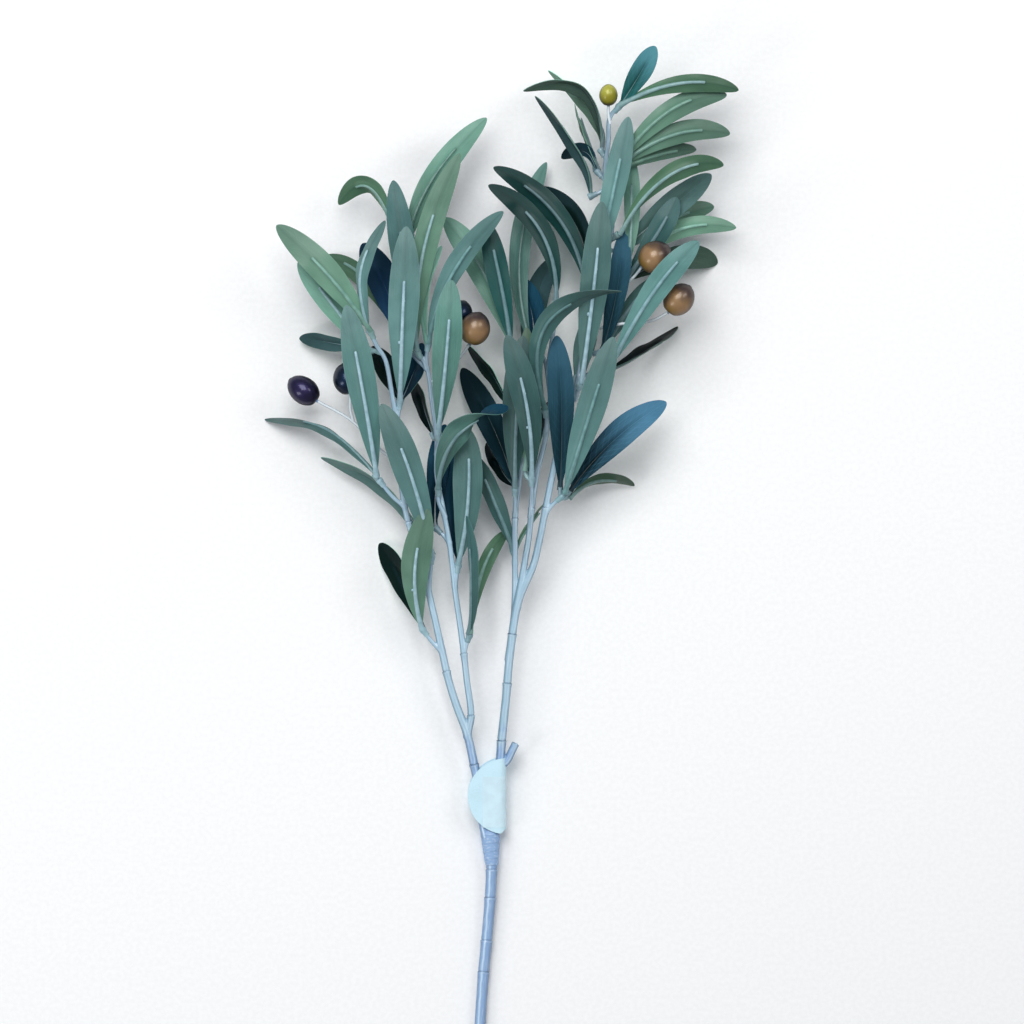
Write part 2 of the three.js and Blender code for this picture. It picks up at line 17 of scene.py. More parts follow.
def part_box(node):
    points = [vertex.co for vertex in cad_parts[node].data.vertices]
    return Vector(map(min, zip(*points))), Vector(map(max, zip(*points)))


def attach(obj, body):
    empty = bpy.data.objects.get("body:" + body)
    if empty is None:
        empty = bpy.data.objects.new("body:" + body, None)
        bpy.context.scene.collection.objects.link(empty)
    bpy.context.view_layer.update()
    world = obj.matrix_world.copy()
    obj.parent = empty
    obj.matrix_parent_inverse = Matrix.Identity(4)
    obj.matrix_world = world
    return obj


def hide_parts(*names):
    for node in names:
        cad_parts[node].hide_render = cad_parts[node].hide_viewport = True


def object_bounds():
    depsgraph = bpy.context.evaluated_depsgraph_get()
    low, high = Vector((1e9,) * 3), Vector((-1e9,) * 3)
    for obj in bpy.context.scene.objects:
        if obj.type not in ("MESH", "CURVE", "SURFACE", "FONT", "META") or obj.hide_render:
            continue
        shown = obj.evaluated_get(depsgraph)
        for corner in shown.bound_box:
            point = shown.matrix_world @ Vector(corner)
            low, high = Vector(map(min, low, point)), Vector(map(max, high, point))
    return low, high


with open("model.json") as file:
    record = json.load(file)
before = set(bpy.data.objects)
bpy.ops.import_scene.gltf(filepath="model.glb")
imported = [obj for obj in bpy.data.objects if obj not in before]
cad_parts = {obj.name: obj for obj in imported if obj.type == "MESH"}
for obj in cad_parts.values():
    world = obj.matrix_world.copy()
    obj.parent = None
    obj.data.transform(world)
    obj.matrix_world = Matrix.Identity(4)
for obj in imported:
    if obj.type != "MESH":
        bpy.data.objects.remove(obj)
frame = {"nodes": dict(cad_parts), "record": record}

bl_info = {
    "name": "Olive Spray",
    "version": (1, 0, 0),
    "blender": (4, 5, 0),
    "location": "View3D > Sidebar > Olive Spray",
    "description": "Builds an artificial olive spray on its packed model",
    "category": "Object",
}

CAD_BOX = [list(corner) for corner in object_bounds()]
SLOTS = {part["node"]: part["material_slot"] for part in frame["record"]["subparts"]}
LEAF_NODES = sorted(name for name, slot in SLOTS.items() if slot == "leaf_cloth")
OLIVE_NODES = sorted(name for name in SLOTS if name.startswith("olive_"))
BRANCH_NODES = ("left_branch", "right_branch")

# Where a CAD leaf has its cross-sections, as shares of its length, from the tip back.
SECTION_SHARES = (0.92, 0.78, 0.6, 0.45, 0.3, 0.16, 0.06)
WIDEST = 0.6          # a leaf is widest at this share of its length
RIDGE_WIDTH = 0.0017  # half the width of the ridge that the rib raises in the cloth
BROAD_LEAF = 0.007    # a leaf of this half width has ripples of the full height
FLOOR_GAP = 0.0002    # nothing comes nearer to the floor than this
TIP_GAP = 0.003       # and no tip droops lower than this
TWIG_REACH = 0.013    # a leaf this near to a twig's end sits on it
TWIG_SEAT = 0.0022    # its collar's place, from the twig's end back
ARM_SEAT = 0.002      # the place of a collar on an arm, from the leaf's base back
ARM_LEAD = 6          # an arm leaves its stem so many millimetres further back
SAME_SPRIG = 0.001    # collars nearer to each other than this are one
LOOSE_BASE = 0.003    # a leaf further than this from its collar has an arm to it
BARE_COLLAR = 0.6     # a collar is at least so far bare, pale plastic
GLUED_RIB = 0.55      # glue shows beside ribs that are barer than this
PRINT_ON_RIB = 1.15   # the print looks this much lighter on a rib than on the cloth
# A sprig's collar, from the twig outwards: place, and width as a share of the collar's radius.
COLLAR = ((-0.0034, 0.62), (-0.0032, 0.78), (-0.0008, 0.8), (0.0001, 0.95), (0.0008, 1),
          (0.0016, 1), (0.0022, 0.9), (0.0023, 0.7), (0.0017, 0.5))
# Where glue squeezes out: metres beside the rib, the share of the leaf's length, and its height.
GLUE_SPOTS = ((0.0003, 0.62, 0), (-0.0014, 0.37, 0))
# The peg on an olive's stalk: place along it, and radius.
PEG = ((-0.0012, 0.0009), (0.0, 0.00095), (0.0006, 0.0013), (0.0012, 0.0011), (0.002, 0.0006))
# How leaves differ. Each of these is drawn between its limits, in this order.
HABITS = {
    "waves": (2.0, 3.6),     # how many ripples run along an edge
    "phase": (0, 6.28),      # where they start
    "drift": (-1, 1),        # how much of the sway it has, upwards or downwards
    "lean": (-0.09, 0.09),   # how far its middle is turned, in radians
    "fold": (0.4, 1.7),      # how deep its fold is, beside the usual one
    "hang": (0.15, 1),       # how much of the droop its tip has
    "lop": (-0.07, 0.07),    # how much wider one half is
    "reach": (-0.06, 0.05),  # how much further out its rib ends
}
UP = np.array((0.0, 0.0, 1.0))


def srgb(code):
    """A six-figure sRGB hex colour as linear red, green and blue."""
    parts = [int(code[i:i + 2], 16) / 255 for i in (1, 3, 5)]
    return tuple(c / 12.92 if c <= 0.04045 else ((c + 0.055) / 1.055) ** 2.4 for c in parts)


# ---- cloth shades ----

# The rib side of the cloth is printed in sage greens: at the base, and at the tip.
PALE_SHADES = {
    "sage": ("#5e8878", "#6fa08e"),
    "mist": ("#6c9782", "#557867"),
    "mint": ("#618d8b", "#4d716f"),
    "fern": ("#527c79", "#4e7673"),
    "moss": ("#436962", "#527f76"),
    "teal": ("#4e765c", "#3f614b"),
    "deep": ("#436d6a", "#365755"),
    "sea": ("#2e514f", "#375f5e"),
    "willow": ("#114744", "#0d3a38"),
}
# The other side is printed in dark greens and blues: at the base, at the tip, and in the crease.
# Their lighter blues, as at the tips of slate, steel and jade and the base of dusk, are a
# painted sheen.
DARK_SHADES = {
    "ink": ("#5d7e7a", "#53716d", "#4a6561"),
    "pitch": ("#2f3f36", "#4d6558", "#24312a"),
    "bottle": ("#395455", "#2d4344", "#2c4243"),
    "slate": ("#18363f", "#355e71", "#16323d"),
    "dusk": ("#24476a", "#0f2838", "#1c3c5c"),
    "navy": ("#0c2634", "#194256", "#071d2a"),
    "night": ("#142f3a", "#112529", "#122625"),
    "fir": ("#05130d", "#04110d", "#03100f"),
    "steel": ("#06191a", "#4d7d99", "#04100f"),
    "jade": ("#1b544f", "#4c828c", "#06281b"),
}
PLAIN_BACK = "navy"
PLAIN_FRONT = "sage"

# Leaf by leaf, from the highest tip of its sprig down: the shade of the side that looks up, how
# light it is, and how far the rib is bare, pale plastic. Shade and lightness are partly the print
# and partly painted shade and light, where a leaf is darker or lighter than the lamps make it.
SHADES = {
    "left_inner_1_leaves": (("sea", 1.15, 0.3), ("teal", 1.18, 0.3)),
    "left_inner_2_leaves": (("fern", 0.83, 0.75), ("navy", 0.8, 0.3)),
    "left_inner_3_leaf": (("moss", 0.87, 0.32),),
    "left_inner_3_leaf_1": (("navy", 0.92, 0.3),),
    "left_inner_4_leaf": (("moss", 1.15, 0.84),),
    "left_inner_4_leaf_1": (("fir", 0.58, 0.3),),
    "left_inner_5_leaves": (("mist", 1.08, 0.64), ("sea", 1.16, 0.3)),
    "left_inner_6_leaves": (("dusk", 0.9, 0.11), ("teal", 1.02, 0.3)),
    "left_inner_7_leaves": (("mint", 1.07, 0.17), ("sage", 1.68, 0.11)),
    "left_inner_8_leaf_1": (("sage", 0.88, 0.05),),
    "left_inner_8_leaf_2": (("teal", 1.15, 0.3),),
    "left_outer_1_leaves": (("mist", 0.91, 0.95), ("fir", 1.82, 0.05)),
    "left_outer_2_leaves": (("mint", 0.9, 0.95), ("ink", 1.05, 0.3)),
    "left_outer_3_leaf_1": (("fern", 1.1, 0.97),),
    "left_outer_3_leaf_2": (("mint", 0.74, 0.3),),
    "left_outer_4_leaves": (("mint", 1.11, 1), ("navy", 0.85, 0.48), ("fir", 1, 0.05)),
    "left_outer_5_leaves": (("mist", 1.1, 0.2), ("mint", 1.08, 0.67)),
    "left_outer_6_leaves": (("sage", 1.17, 0.63), ("bottle", 1.31, 0.3)),
    "right_inner_1_leaves": (("deep", 0.98, 0.31), ("teal", 1.33, 0.3)),
    "right_inner_2_leaves": (("sea", 0.82, 0.28), ("fir", 0.45, 0.3), ("night", 0.89, 0.05)),
    "right_inner_3_leaf": (("fir", 1.9, 0.3),),
    "right_inner_4_leaves": (("willow", 1.46, 0.37), ("sage", 0.9, 0.15)),
    "right_middle_1_leaf": (("sea", 0.87, 0.82),),
    "right_middle_1_leaf_1": (("night", 1.52, 0.3),),
    "right_middle_1_leaf_2": (("teal", 1, 0.3),),
    "right_middle_2_leaves": (("deep", 1.01, 0.15), ("bottle", 1.3, 0.3)),
    "right_middle_3_leaves": (("navy", 1.2, 0.05), ("moss", 0.94, 0.05)),
    "right_middle_4_leaf": (("willow", 0.8, 0.4),),
    "right_middle_5_leaves": (("willow", 0.85, 0.26), ("fir", 1.9, 0.09)),
    "right_outer_10_leaves": (("mist", 0.92, 0.1), ("mist", 0.82, 0.14), ("mist", 0.84, 0.05)),
    "right_outer_11_leaves": (("jade", 1, 0.25), ("teal", 0.98, 0.55)),
    "right_outer_12_leaves": (("pitch", 0.86, 0.3), ("pitch", 1.88, 0.3)),
    "right_outer_13_leaves": (("night", 1.2, 0.3), ("pitch", 0.7, 0.3)),
    "right_outer_14_leaf": (("bottle", 0.83, 0.3),),
    "right_outer_1_leaf_1": (("mint", 0.97, 0.14),),
    "right_outer_1_leaf_2": (("steel", 1, 0.05),),
    "right_outer_1_leaf_3": (("slate", 0.78, 0.05),),
    "right_outer_1_leaf_4": (("teal", 0.67, 0.3),),
    "right_outer_2_leaf": (("fern", 0.77, 0.96),),
    "right_outer_2_leaf_1": (("ink", 1.04, 0.3),),
    "right_outer_3_leaves": (("fern", 1.36, 0.54), ("fir", 0.45, 0.3)),
    "right_outer_4_leaves": (("slate", 0.9, 0.05), ("fern", 0.8, 0.23)),
    "right_outer_5_leaf": (("mint", 1.2, 0.24),),
    "right_outer_6_leaf": (("teal", 1.07, 0.5),),
    "right_outer_7_leaves": (("ink", 0.94, 0.15), ("mist", 1.15, 0.3)),
    "right_outer_8_leaves": (("sea", 1.04, 0.32), ("pitch", 0.79, 0.3)),
    "right_outer_9_leaf_1": (("sage", 0.93, 0.23),),
    "right_outer_9_leaf_2": (("mist", 1.49, 0.19),),
}

# Each olive's paint: by its stalk, round its middle, at its free end, and its sheen.
OLIVE_PAINTS = {
    "olive_green": ("#4a3f10", "#85801f", "#a4a544", "#fff0a8"),
    "olive_gold": ("#80652c", "#8b6d4c", "#33282c", "#ffe3c4"),
    "olive_purple": ("#0c0914", "#141124", "#100f26", "#8f87e6"),
    "olive_navy": ("#03060b", "#06101b", "#050a13", "#5a8cd8"),
}


# ---- the course of each stem, twig and stalk ----

# Radii at both ends, then the places of its rings along it, then the points that it runs through
# from ROUTE_START, all in millimetres.
ROUTE_START = (-0.5, 0.1, 0)
BRANCH, INNER, TWIG, STALK = (2.9, 1.35), (2.1, 1.3), (1.3, 1.15), (0.98, 0.86)
ROUTES = {
    "main_stem": (
        ((3.3, 3.3), (94, 113, 139, 156), ((-16, -325, 3.4), (-12, -261, 3.6), (-10, -232, 4),
            (-8, -211, 4.6), (-6, -187, 5.6), (-5, -163, 7), (-6, -148.5, 8.2))),
    ),
    "left_branch": (
        (BRANCH, (45, 104, 198), ((-8.1, -150, 8.4), (-10, -142, 8.9), (-12, -124, 11.1),
            (-15, -109, 13), (-20, -87, 15.6), (-26, -71, 17.1), (-31, -55, 18.6), (-35, -37, 20.1),
            (-43, -2, 24.1), (-48, 17, 28.1), (-56, 44, 32), (-60, 68, 34.5), (-62, 95, 36),
            (-65, 118, 39.5), (-69, 138, 40), (-74, 146, 40), (-78, 155, 40))),
        (INNER, (14, 52), ((-20, -90, 15.1), (-17.5, -77, 17.1), (-20, -55, 19.6), (-22, -37, 22.1),
            (-24, -22, 24.1), (-27, -1, 27.1), (-30, 25, 30.1), (-34, 47, 31.1), (-38, 69, 31.1),
            (-38, 89, 33), (-41, 113, 36), (-44, 133, 38.5), (-50, 143, 41))),
        (TWIG, (), ((-35, -38, 20.1), (-40, -33, 21.1), (-47, -24, 22.1))),
        (TWIG, (), ((-43, -3, 24.1), (-42, 8, 27.1), (-41, 20, 30.1))),
        (TWIG, (), ((-57, 49, 33), (-65, 56, 34), (-73, 66, 36))),
        (TWIG, (), ((-62, 97, 35.5), (-61, 105, 37), (-60, 113, 38))),
        (TWIG, (), ((-22, -39, 22.1), (-20, -33, 23.1), (-18, -27, 24.1))),
        (TWIG, (), ((-27, 1, 27.1), (-26, 8, 29.1), (-25, 15, 30.1))),
        (TWIG, (), ((-33, 43, 31.1), (-37, 53, 35), (-37, 61, 38))),
        (TWIG, (), ((-30, 27, 30.1), (-34, 32, 29.1), (-39, 37, 27.1))),
        (TWIG, (), ((-38, 81, 32), (-37, 88, 36), (-37, 94, 39))),
        (TWIG, (), ((-44, 132, 38), (-51, 139, 36), (-58, 148, 34))),
        (TWIG, (), ((-44, 132, 38), (-44, 140, 40), (-43, 148, 41))),
        (TWIG, (), ((-49, 138, 37), (-54, 155, 35), (-57, 177, 35), (-58, 203, 38))),
        (STALK, (), ((-43, 123, 37), (-33, 131, 37), (-25, 138, 41), (-18, 147, 47))),
        (STALK, (), ((-29, 134, 38.5), (-26, 147, 37), (-27, 157, 37))),
        (STALK, (), ((-60, 76, 34.5), (-70, 82, 34), (-89, 101, 31.1), (-110, 113, 31.1))),
        (STALK, (), ((-88, 100, 31.1), (-90, 108, 31.1), (-90, 117, 31.1))),
    ),
    "right_branch": (
        (BRANCH, (59, 94, 124, 204, 380), ((-4.3, -150, 8.4), (-3.4, -142, 8.9), (-2, -124, 11.1),
            (0, -104, 13.6), (1, -91, 15.1), (3.5, -67, 17.1), (6, -39, 20.1), (11, -8, 23.1),
            (20, 14, 27.1), (23, 26, 30.1), (27, 46, 33), (32, 71, 35), (39, 101, 36),
            (46, 122, 36), (50, 143, 38), (54, 163, 40), (59, 185, 41), (65, 206, 42),
            (67, 217, 42), (64, 236, 41), (63, 251, 42), (65, 269, 43), (66, 283, 44),
            (72, 290, 46))),
        (INNER, (86,), ((5, -43, 19.6), (8, -21, 20.1), (9, -1, 22.1), (9, 21, 25.6), (9, 41, 27.1),
            (13, 80, 28.1), (13, 106, 30.1), (10, 128, 34), (7, 145, 38))),
        (INNER, (62,), ((10, -12, 22.6), (14, 11, 26.1), (17, 29, 29.1), (19, 47, 31.1),
            (22, 69, 34), (27, 89, 35.5), (30, 111, 35.5), (29, 131, 36), (32, 155, 38),
            (34, 174, 41))),
        ((2.2, 2.4), (), ((0, -107, 13.1), (4, -104, 13.5), (7, -98, 14.1), (9.5, -93, 14.7))),
        (TWIG, (), ((9, 15, 24.6), (9, 19, 22.6), (8, 23, 20.1))),
        (TWIG, (), ((9, 43, 27.1), (9, 53, 31.6), (9, 61, 34))),
        (TWIG, (), ((13, 93, 29.1), (9, 103, 28.1), (5, 109, 26.1))),
        (TWIG, (), ((18, 43, 31.1), (19, 57, 35), (19, 67, 38))),
        (TWIG, (), ((27, 92, 35.5), (28, 100, 37.5), (27, 108, 40))),
        (TWIG, (), ((29, 127, 35), (26, 139, 34.5), (19, 146, 35))),
        (TWIG, (), ((54, 165, 40), (53, 173, 41), (52, 181, 41))),
        (TWIG, (), ((27, 45, 33), (32, 51, 35), (38, 56, 37))),
        (TWIG, (), ((45, 113, 36), (47, 119, 38), (49, 124, 42))),
        (TWIG, (), ((47, 127, 37), (57, 130, 38), (66, 133, 40))),
        (TWIG, (), ((50, 139, 38), (55, 141, 38), (61, 142, 38))),
        (TWIG, (), ((64, 203, 42), (69, 203, 39), (72, 202, 36))),
        (TWIG, (), ((59, 184, 41), (67, 184, 40), (74, 184, 37))),
        (TWIG, (), ((66, 184, 40), (71, 187, 42), (77, 193, 43))),
        (STALK, (), ((60, 185, 41), (74, 183, 43), (80, 187, 45), (85, 193, 51))),
        (STALK, (), ((53, 155, 39), (72, 159, 40), (91, 161, 43), (101, 166, 45))),
        (TWIG, (), ((64, 241, 41.5), (60, 238, 41), (53, 235, 41))),
        (STALK, (), ((66, 279, 44), (65, 285, 45), (65, 290, 46))),
    ),
}


# ---- what a user would change ----

class LeafSizes(bpy.types.PropertyGroup):
    """The cloth blade of a leaf and its moulded rib."""
    cloth: FloatProperty(
        name="Cloth", description="Thickness of the stiffened cloth", default=0.0004, unit="LENGTH")
    ridge: FloatProperty(
        name="Ridge", description="How high the blade's middle stands in its CAD solid",
        default=0.0011, unit="LENGTH")
    fold: FloatProperty(
        name="Fold", description="Fall of the blade's edges, as a share of its half width",
        default=0.16, subtype="FACTOR")
    ripple: FloatProperty(
        name="Ripple", description="Height of the waves along the edges",
        default=0.0005, unit="LENGTH")
    droop: FloatProperty(
        name="Droop", description="How far the cloth beyond the rib may hang at the tip",
        default=0.0045, unit="LENGTH")
    sway: FloatProperty(
        name="Sway", description="How far a leaf wanders from an even arch",
        default=0.0011, unit="LENGTH")
    rib_width: FloatProperty(
        name="Rib width", description="Half the rib's width at the base",
        default=0.00135, unit="LENGTH")
    rib_height: FloatProperty(
        name="Rib height", description="How far the rib stands out at the base",
        default=0.0012, unit="LENGTH")
    rib_share: FloatProperty(
        name="Rib share", description="Where the rib ends, as a share of the length",
        default=0.73, subtype="FACTOR")
    rib_colour: FloatVectorProperty(
        name="Rib", description="Moulded rib", subtype="COLOR", default=srgb("#a9cad6"))


class StemSizes(bpy.types.PropertyGroup):
    """The moulded stems, the tape round their fork and the collars of the sprigs."""
    voxel: FloatProperty(
        name="Voxel", description="Fineness of the stems' skin", default=0.0005, unit="LENGTH")
    web: FloatProperty(
        name="Web", description="Softness of the forks", default=0.0005, unit="LENGTH")
    lip: FloatProperty(
        name="Lip", description="How far a ring stands out", default=0.0005, unit="LENGTH")
    collar: FloatProperty(
        name="Collar", description="Radius of a sprig's collar", default=0.0022, unit="LENGTH")
    arm: FloatProperty(
        name="Arm", description="Radius of the arm that carries a leaf",
        default=0.0012, unit="LENGTH")
    tape_pitch: FloatProperty(
        name="Tape pitch", description="Distance between turns of the tape",
        default=0.0048, unit="LENGTH")
    tape_step: FloatProperty(
        name="Tape step", description="Height of the tape's overlapping edge",
        default=0.0002, unit="LENGTH")
    low_colour: FloatVectorProperty(
        name="Stem", description="Stem by its cut end", subtype="COLOR", default=srgb("#8fafd8"))
    high_colour: FloatVectorProperty(
        name="Twigs", description="Stems among the leaves", subtype="COLOR",
        default=srgb("#a6c6da"))


class TagSizes(bpy.types.PropertyGroup):
    """The folded card tag and the plain sticker on it."""
    radius: FloatProperty(
        name="Radius", description="Radius of the round card", default=0.023, unit="LENGTH")
    bend: FloatProperty(
        name="Bend", description="Radius of the fold", default=0.00395, unit="LENGTH")
    card: FloatProperty(
        name="Card", description="Thickness of the card", default=0.0004, unit="LENGTH")
    card_colour: FloatVectorProperty(
        name="Card", description="Bare card", subtype="COLOR", default=srgb("#cdeefc"))
    sticker_colour: FloatVectorProperty(
        name="Sticker", description="Plain film", subtype="COLOR", default=srgb("#d3effb"))


class StageSizes(bpy.types.PropertyGroup):
    """The floor, the lights and the camera."""
    lens: FloatProperty(name="Lens", description="Focal length", default=400, unit="CAMERA")
    top: FloatProperty(
        name="Top light", description="Strength of the large soft light overhead",
        default=46, unit="POWER")
    key: FloatProperty(
        name="Key light", description="Strength of the light from the upper right",
        default=9, unit="POWER")
    fill: FloatProperty(
        name="Fill light", description="Strength of the light from the lower left",
        default=8, unit="POWER")
    sky: FloatProperty(name="Surround", description="Strength of the white surround", default=0.28)


# ---- modelling helpers ----

def in_metres(points):
    """A route's points in metres, in the object's own frame."""
    return (np.array(points, float) + ROUTE_START) / 1000


def alone(obj):
    """Deselects everything else, and makes an object the active one."""
    bpy.ops.object.select_all(action="DESELECT")
    obj.select_set(True)
    bpy.context.view_layer.objects.active = obj
    return obj


def added(operator, name, **settings):
    """Adds a primitive with nothing else selected, and names it."""
    bpy.ops.object.select_all(action="DESELECT")
    operator(**settings)
    obj = bpy.context.object
    obj.name = name
    obj.data.name = name
    return obj


def select_where(obj, test):
    """In edit mode, selects the corners that pass a test of their place."""
    shape = bmesh.from_edit_mesh(obj.data)
    for corner in shape.verts:
        corner.select_set(test(corner.co))
    shape.select_flush_mode()
    bmesh.update_edit_mesh(obj.data)


def modifier(obj, kind, **settings):
    """Adds a modifier with its settings and applies it."""
    alone(obj)
    made = obj.modifiers.new(kind.title(), kind)
    for key, value in settings.items():
        setattr(made, key, value)
    bpy.ops.object.modifier_apply(modifier=made.name)


def places(mesh):
    """A mesh's corners as rows of x, y and z."""
    flat = np.empty(len(mesh.vertices) * 3)
    mesh.vertices.foreach_get("co", flat)
    return flat.reshape(-1, 3)


def move_to(mesh, rows):
    mesh.vertices.foreach_set("co", np.asarray(rows).ravel())
    mesh.update()


def mark(mesh, **columns):
    """Stores numbers, vectors or colours corner by corner, each under its own name."""
    for name, values in columns.items():
        kind, field = {1: ("FLOAT", "value"), 3: ("FLOAT_VECTOR", "vector"),
                       4: ("FLOAT_COLOR", "color")}[values.size // len(mesh.vertices)]
        mesh.attributes.new(name, kind, "POINT").data.foreach_set(field, values.ravel())


def copied(obj, name):
    """A copy of an object with its own mesh."""
    twin = obj.copy()
    twin.data = obj.data.copy()
    twin.name = twin.data.name = name
    bpy.context.collection.objects.link(twin)
    return twin


def joined(objects, name):
    """Joins objects into one piece."""
    first = alone(objects[0])
    for other in objects[1:]:
        other.select_set(True)
    bpy.ops.object.join()
    first.name = first.data.name = name
    return first


def outward(obj, merge=0):
    """Leaves edit mode with an object's doubles merged and its faces turned outwards."""
    bpy.ops.object.mode_set(mode="OBJECT")
    alone(obj)
    bpy.ops.object.mode_set(mode="EDIT")
    bpy.ops.mesh.select_all(action="SELECT")
    if merge:
        bpy.ops.mesh.remove_doubles(threshold=merge)
    bpy.ops.mesh.normals_make_consistent(inside=False)
    bpy.ops.object.mode_set(mode="OBJECT")
    return obj


def drawn_tube(name, rows, corners):
    """A closed rod, extruded along +Y through rows of place, half width and half height."""
    (start, width, height), *rest = rows
    rod = added(bpy.ops.mesh.primitive_circle_add, name, vertices=corners, radius=1,
                fill_type="NGON", rotation=(math.pi / 2, 0, 0), location=(0, start, 0))
    bpy.ops.object.transform_apply()
    bpy.ops.object.mode_set(mode="EDIT")
    bpy.ops.mesh.select_all(action="SELECT")
    bpy.ops.transform.resize(value=(width, 1, height), center_override=(0, start, 0))
    before = start
    for place, next_width, next_height in rest:
        bpy.ops.mesh.extrude_region_move(TRANSFORM_OT_translate={"value": (0, place - before, 0)})
        ratio = (next_width / width, 1, next_height / height)
        bpy.ops.transform.resize(value=ratio, center_override=(0, place, 0))
        before, width, height = place, next_width, next_height
    return outward(rod)


def along_route(mesh, points, radii=(1.0, 1.0)):
    """Bends a rod that runs from y 0 to y 1 along a curve of three points."""
    rows = places(mesh)
    a, b, c = (np.array(p, float) for p in points)
    t = rows[:, 1:2].clip(0, 1)
    centre = (1 - t) ** 2 * a + 2 * t * (1 - t) * b + t ** 2 * c
    side, normal = level_frame(unit((1 - t) * (b - a) + t * (c - b)))
    grown = radii[0] + (radii[1] - radii[0]) * t
    move_to(mesh, centre + (side * rows[:, :1] + normal * rows[:, 2:]) * grown)


def unit(rows):
    """Vectors brought to a length of 1."""
    return rows / np.linalg.norm(rows, axis=-1, keepdims=True)


def level_frame(course):
    """Level sideways directions, and those at right angles to them, along a course."""
    side = unit(np.cross(course, UP))
    return side, np.cross(side, course)


def keep(piece, node_name, degrees=40, replaces=True):
    """Smooths a finished piece, rides it on the body and, if it replaces its CAD node, hides that
    node.
    """
    alone(piece)
    bpy.ops.object.shade_smooth_by_angle(angle=math.radians(degrees))
    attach(piece, "root")
    if replaces:
        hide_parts(node_name)


# ---- materials ----

# What the sums in the materials do, over and over. The first two take a value, a slope and a start,
# and give slope x value + start, the first of them held between 0 and 1.
FIT = {"operation": "MULTIPLY_ADD", "use_clamp": True}
LINE = {"operation": "MULTIPLY_ADD"}
TIMES = {"operation": "MULTIPLY"}
PLUS = {"operation": "ADD"}
SIZE = {"operation": "ABSOLUTE"}


def feed(made, inputs):
    """Sets or links a node's inputs, each by its place or its name."""
    for key, value in dict(inputs).items():
        if isinstance(value, bpy.types.NodeSocket):
            made.id_data.links.new(value, made.inputs[key])
        else:
            made.inputs[key].default_value = value


def node(tree, kind, inputs, out=0, stops=(), **settings):
    """Adds a node with its settings and links, and gives one of its outputs, by place or name."""
    made = tree.nodes.new("ShaderNode" + kind)
    for key, value in settings.items():
        setattr(made, key, value)
    feed(made, inputs if isinstance(inputs, dict) else enumerate(inputs))
    if stops:
        band = made.color_ramp.elements
        made.color_ramp.interpolation = "EASE"
        while len(band) < len(stops):
            band.new(0.5)
        for element, (place, colour) in zip(band, stops):
            element.position = place
            element.color = opaque(colour)
    return made.outputs[out]


def opaque(colour):
    """A colour with its fourth number; one that is written as a hex value is turned to linear."""
    return (*tuple(srgb(colour) if isinstance(colour, str) else colour)[:3], 1.0)


def scaled(colour, scale, extra=0.0):
    """A linear colour, made darker or lighter."""
    return tuple(min(1.0, c * scale + extra) for c in tuple(colour)[:3])


def layer(tree, colour, source, slope, start, share, tint, kind="MIX"):
    """Lays a tint over a colour where slope x source + start is above 0, up to a share of it."""
    mask = node(tree, "Math", (node(tree, "Math", (source, slope, start), **FIT), share), **TIMES)
    return node(tree, "Mix", {0: mask, 6: colour, 7: opaque(tint)}, 2,
                data_type="RGBA", blend_type=kind)


def new_material(name, shader_values):
    """A new material, its nodes, its Principled shader and the place on the object, in metres."""
    made = bpy.data.materials.new(name)
    made.use_nodes = True
    shader = made.node_tree.nodes["Principled BSDF"]
    feed(shader, shader_values)
    return made, made.node_tree, shader, node(made.node_tree, "TexCoord", (), "Object")


